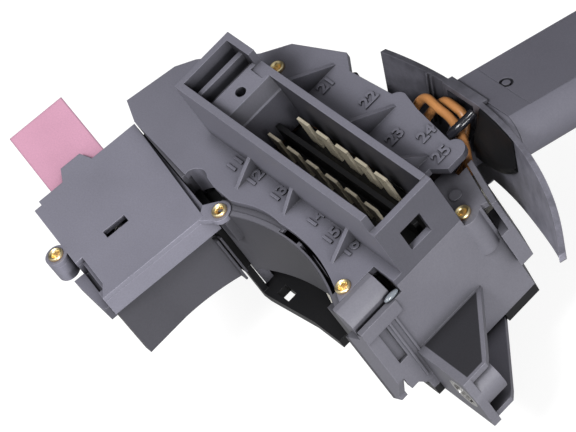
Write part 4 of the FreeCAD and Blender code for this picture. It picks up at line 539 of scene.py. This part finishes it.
# Low block at the switch's near side: it is moulded in the cover's plastic and stands beside the
# tray.
shelf_plan = from_switch(((28, -3.2), (43.5, -1.6), (43.5, 0.2), (28, 0.2)))
shelf_low, shelf_high = 31.2, 35.5
fit(upright("switch_side_shelf", shelf_plan, shelf_low, shelf_high, cover_plastic), "housing")

# Black walls beside the hazard switch: a ledge under its far side, and the floor under the
# scooped notch of the label plate. Both are thin and moulded with the base plate.
switch_far = (-77.43, 39.57)


def beside_switch(x, offset):
    """A plan point at x along the switch's far side, moved outwards by an offset, in mm: y is the
    side's y plus the tangent of the switch's turn times the way from the side's x."""
    return x, switch_far[1] + math.tan(switch_turn) * (x - switch_far[0]) + offset


ledge_left, ledge_right = -80, -38
ledge_in, ledge_out = -2.5, 2.2
ledge_low, ledge_high = 31.3, 32.1
ledge_plan = [beside_switch(ledge_left, ledge_in), beside_switch(ledge_right, ledge_in),
              beside_switch(ledge_right, ledge_out), beside_switch(ledge_left, ledge_out)]
fit(upright("switch_ledge", ledge_plan, ledge_low, ledge_high, black_plastic), "housing")
scoop_left, scoop_bend, scoop_right = -54, -32, -24
scoop_near, scoop_far = 38.5, 41.6
scoop_gap = 1.0
scoop_low, scoop_high = 28.4, 29.2
scoop_plan = [beside_switch(scoop_left, scoop_gap), beside_switch(scoop_bend, scoop_gap),
              (scoop_right, scoop_near), (scoop_right, scoop_far), (scoop_left, scoop_far)]
fit(upright("scoop_floor", scoop_plan, scoop_low, scoop_high, black_plastic), "housing")

# Hazard tab: the pink sliding tab, one moulding of smooth plastic, with painted shade on its rounded edges.
# It slides in the tray under the lid.
tab_plastic = plastic("tab_plastic", (0.6, 0.315, 0.43), gloss=0.55, edge_light=-0.4, edge_width=0.0009)
finish_nodes(tab_plastic, "hazard_tab")

# Springs of the hazard tab and of the end button: steel wire wound into coils. Each stands for the solid
# spring.
steps_per_turn = 20
wire_sides = 8


def coil(name, node, axis, radius, wire, length, turns):
    """A round wire along p(t) = start + axis length t + radius outward(t), in the middle of the
    solid spring's box, in metres. Outward is side cos 2 pi n t + other sin 2 pi n t, and the
    wire's ring at each step is wire (outward cos b + axis sin b)."""
    lowest, highest = np.array(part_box(node))
    side = np.cross(axis, (0, 0, 1))
    side /= np.linalg.norm(side)
    other = np.cross(axis, side)
    start = (lowest + highest) / 2 - axis * length / 2
    share = np.linspace(0, 1, steps_per_turn * turns + 1)
    angle = 2 * np.pi * turns * share
    outward = np.outer(np.cos(angle), side) + np.outer(np.sin(angle), other)
    middle = start + np.outer(share, axis) * length + outward * radius
    round_wire = 2 * np.pi * np.arange(wire_sides)[:, None] / wire_sides
    ring = np.cos(round_wire) * outward[:, None] + np.sin(round_wire) * axis
    piece = ring_piece(name, [middle[:, None] + wire * ring], pin_steel, smooth=True)
    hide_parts(node)
    return piece, start


tab_way = np.array((math.cos(switch_turn), math.sin(switch_turn), 0))
tab_spring_radius, tab_spring_wire, tab_spring_length, tab_spring_turns = 0.00125, 0.00035, 0.010, 7
tab_coil, tab_coil_start = coil("tab_spring_coil", "hazard_spring", tab_way, tab_spring_radius,
                                tab_spring_wire, tab_spring_length, tab_spring_turns)
fit(tab_coil, "housing")
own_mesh(tab_coil)

stalk_tilt = math.radians(-20.4)
stalk_way = np.array((0, math.cos(stalk_tilt), math.sin(stalk_tilt)))
button_spring_radius, button_spring_wire, button_spring_length = 0.0042, 0.0005, 0.0020
button_spring_turns = 3
button_coil, button_coil_start = coil("button_spring_coil", "button_spring", stalk_way, button_spring_radius,
                                      button_spring_wire, button_spring_length, button_spring_turns)
fit(button_coil, "stalk")
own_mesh(button_coil)

# Lever: the hollow stalk with its lid, root, rotary sleeve and end button, moulded in a satin
# grey plastic a little darker than the housing.
stalk_plastic = plastic("stalk_plastic", (0.115, 0.113, 0.138), gloss=0.5)
finish_nodes(stalk_plastic, "stalk_shell", "stalk_lid", "lever_root", "rotary_sleeve", "end_button")

# Lever's shield: a thin curved wall round the lever's root, its tone patchy with a noise. Painted light
# makes it darkest at its left end and palest on the right wing.
shield_tone = (0.12, 0.118, 0.142)
shield_plastic = plastic("shield_plastic", shield_tone, gloss=0.4)
finish_nodes(shield_plastic, "lever_shield")
wing_left, wing_right = -0.005, 0.055
wing_dark, wing_pale = 0.55, 1.7
tree = shield_plastic.node_tree
place = node_of(tree, "ShaderNodeTexCoord").outputs["Object"]
spot = node_of(tree, "ShaderNodeSeparateXYZ", {}, {0: place}).outputs
# Painted light: darker towards the left end, paler on the right wing.
wing_painted_light = ramp(tree, spot["X"], wing_left, wing_right, wing_dark, wing_pale)
patchy = ramp(tree, noise(tree, 160.0, 4.0, 0.7), 0.35, 0.7, 0.8, 1.35)
shade_tone(shield_plastic, shield_tone, maths(tree, "MULTIPLY", wing_painted_light, patchy))


# Collar: the rounded body between the stalk's side and the back of the shield, in one moulding
# with the stalk.
stalk_root = np.array((0.0094, 0.0983, 0.0327))
shield_radius, shield_middle, shield_depth = 118.1, -8.0, 123.2


def from_stalk(across, along, up):
    """Points of the stalk's frame, in mm, in the part's frame, in metres: along and up turn by
    the stalk's tilt about x, and all three move to the stalk's root."""
    across, along, up = np.broadcast_arrays(across, along, up)
    y = along * math.cos(stalk_tilt) - up * math.sin(stalk_tilt)
    z = along * math.sin(stalk_tilt) + up * math.cos(stalk_tilt)
    return stalk_root + np.stack((across, y, z), axis=-1) / 1000


def arc(start, end, radius, steps):
    """Points from start to end of an arc that bulges to the left of its chord: centre plus radius
    times (left cos a - chord's way sin a), with a from the half angle to its opposite."""
    start, end = np.array(start, dtype=float), np.array(end, dtype=float)
    half = np.linalg.norm(end - start) / 2
    way = (end - start) / 2 / half
    left = np.array((-way[1], way[0]))
    centre = (start + end) / 2 - left * math.sqrt(radius ** 2 - half ** 2)
    angle = np.linspace(1, -1, steps)[:, None] * math.asin(half / radius)
    return centre + radius * (left * np.cos(angle) - way * np.sin(angle))


def shield_back(across, offset=0.0):
    """Place along the stalk of the shield's back, whose radius is moved by an offset, in mm: the
    root of radius squared less (across - the middle) squared, less the shield's depth."""
    return np.sqrt((shield_radius + offset) ** 2 - (across - shield_middle) ** 2) - shield_depth


collar_inner, collar_top, collar_foot = 2.0, 7.3, -7.35
collar_upper, collar_nose, collar_lower = (10.1, 7.35), (14.45, 0), (8.9, -7.35)
upper_round, lower_round, round_steps = 8.0, 8.6, 8
collar_front, shield_overlap = -3.6, 0.5
upper_arc = arc(collar_upper, collar_nose, upper_round, round_steps)
lower_arc = arc(collar_nose, collar_lower, lower_round, round_steps)[1:]
collar_section = np.concatenate(([(collar_inner, collar_top)], upper_arc, lower_arc,
                                 [(collar_inner, collar_foot)]))
across, up = collar_section.T
collar_shape = np.stack((from_stalk(across, collar_front, up),
                         from_stalk(across, shield_back(across) - shield_overlap, up)))
fit(ring_piece("stalk_collar", [collar_shape], stalk_plastic, smooth=True), "stalk")

# Liner: the black hollow curve on the shield's inner side, from its rim down to the lever's root. Its black
# is partly painted shade for the shadowed inner wall of the shield. It gets thinner towards the right, and
# stands for the solid hub. Each row of its section is a share of the depth, what is added to it, a height,
# and 1 where that stands on the lower edge.
liner_left, liner_right, liner_steps = 3.0, 20.0, 24
liner_thin, liner_thicker = 0.5, 3.0
liner_foot, liner_foot_rise = -6.0, 5.0
liner_gap = -1.65
liner_section = np.array((
    (0, 0, 8.2, 0), (0, 0.35, 8.2, 0), (0.18, 0.3, 6.6, 0), (0.45, 0, 4.2, 0), (0.8, 0, 1.8, 0),
    (1, 0, -0.5, 0), (1, 0, 1.0, 1), (0.8, 0, 0, 1), (0, 0, 0, 1)))
across = np.linspace(liner_left, liner_right, liner_steps)
share = (across - liner_left) / (liner_right - liner_left)
depth = liner_thin + liner_thicker * (1 - share ** 2)
foot = liner_foot + liner_foot_rise * share ** 3
of_depth, more_depth, height, on_foot = liner_section.T
along = shield_back(across, liner_gap)[:, None] - np.outer(depth, of_depth) - more_depth
liner_shape = from_stalk(across[:, None], along, height + np.outer(foot, on_foot))
liner = ring_piece("shield_liner", [liner_shape], black_plastic, smooth=True)
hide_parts("lever_hub")
fit(liner, "stalk")

# Inner mechanism: the yoke, the cancelling pawl and the contact carriage are moulded in natural
# slippery plastic, and the contacts sit on a board of brown laminate.
finish_nodes(plastic("natural_plastic", (0.6, 0.58, 0.52)), "lever_yoke", "cancel_pawl", "turn_carriage")
finish_nodes(plastic("board_plastic", (0.25, 0.12, 0.05)), "contact_board")

# Leads: two stranded wires in smooth brown insulation, under a glossy black strap. They are held
# at both ends inside the switch.
lead_plastic = plastic("lead_plastic", (0.45, 0.2, 0.07), gloss=0.35, edge_light=0.0)
finish_nodes(lead_plastic, "lead_front", "lead_back")
strap_plastic = plastic("strap_plastic", (0.012, 0.012, 0.016), gloss=0.12, grain=0.05, edge_light=0.0)
finish_nodes(strap_plastic, "lead_strap")
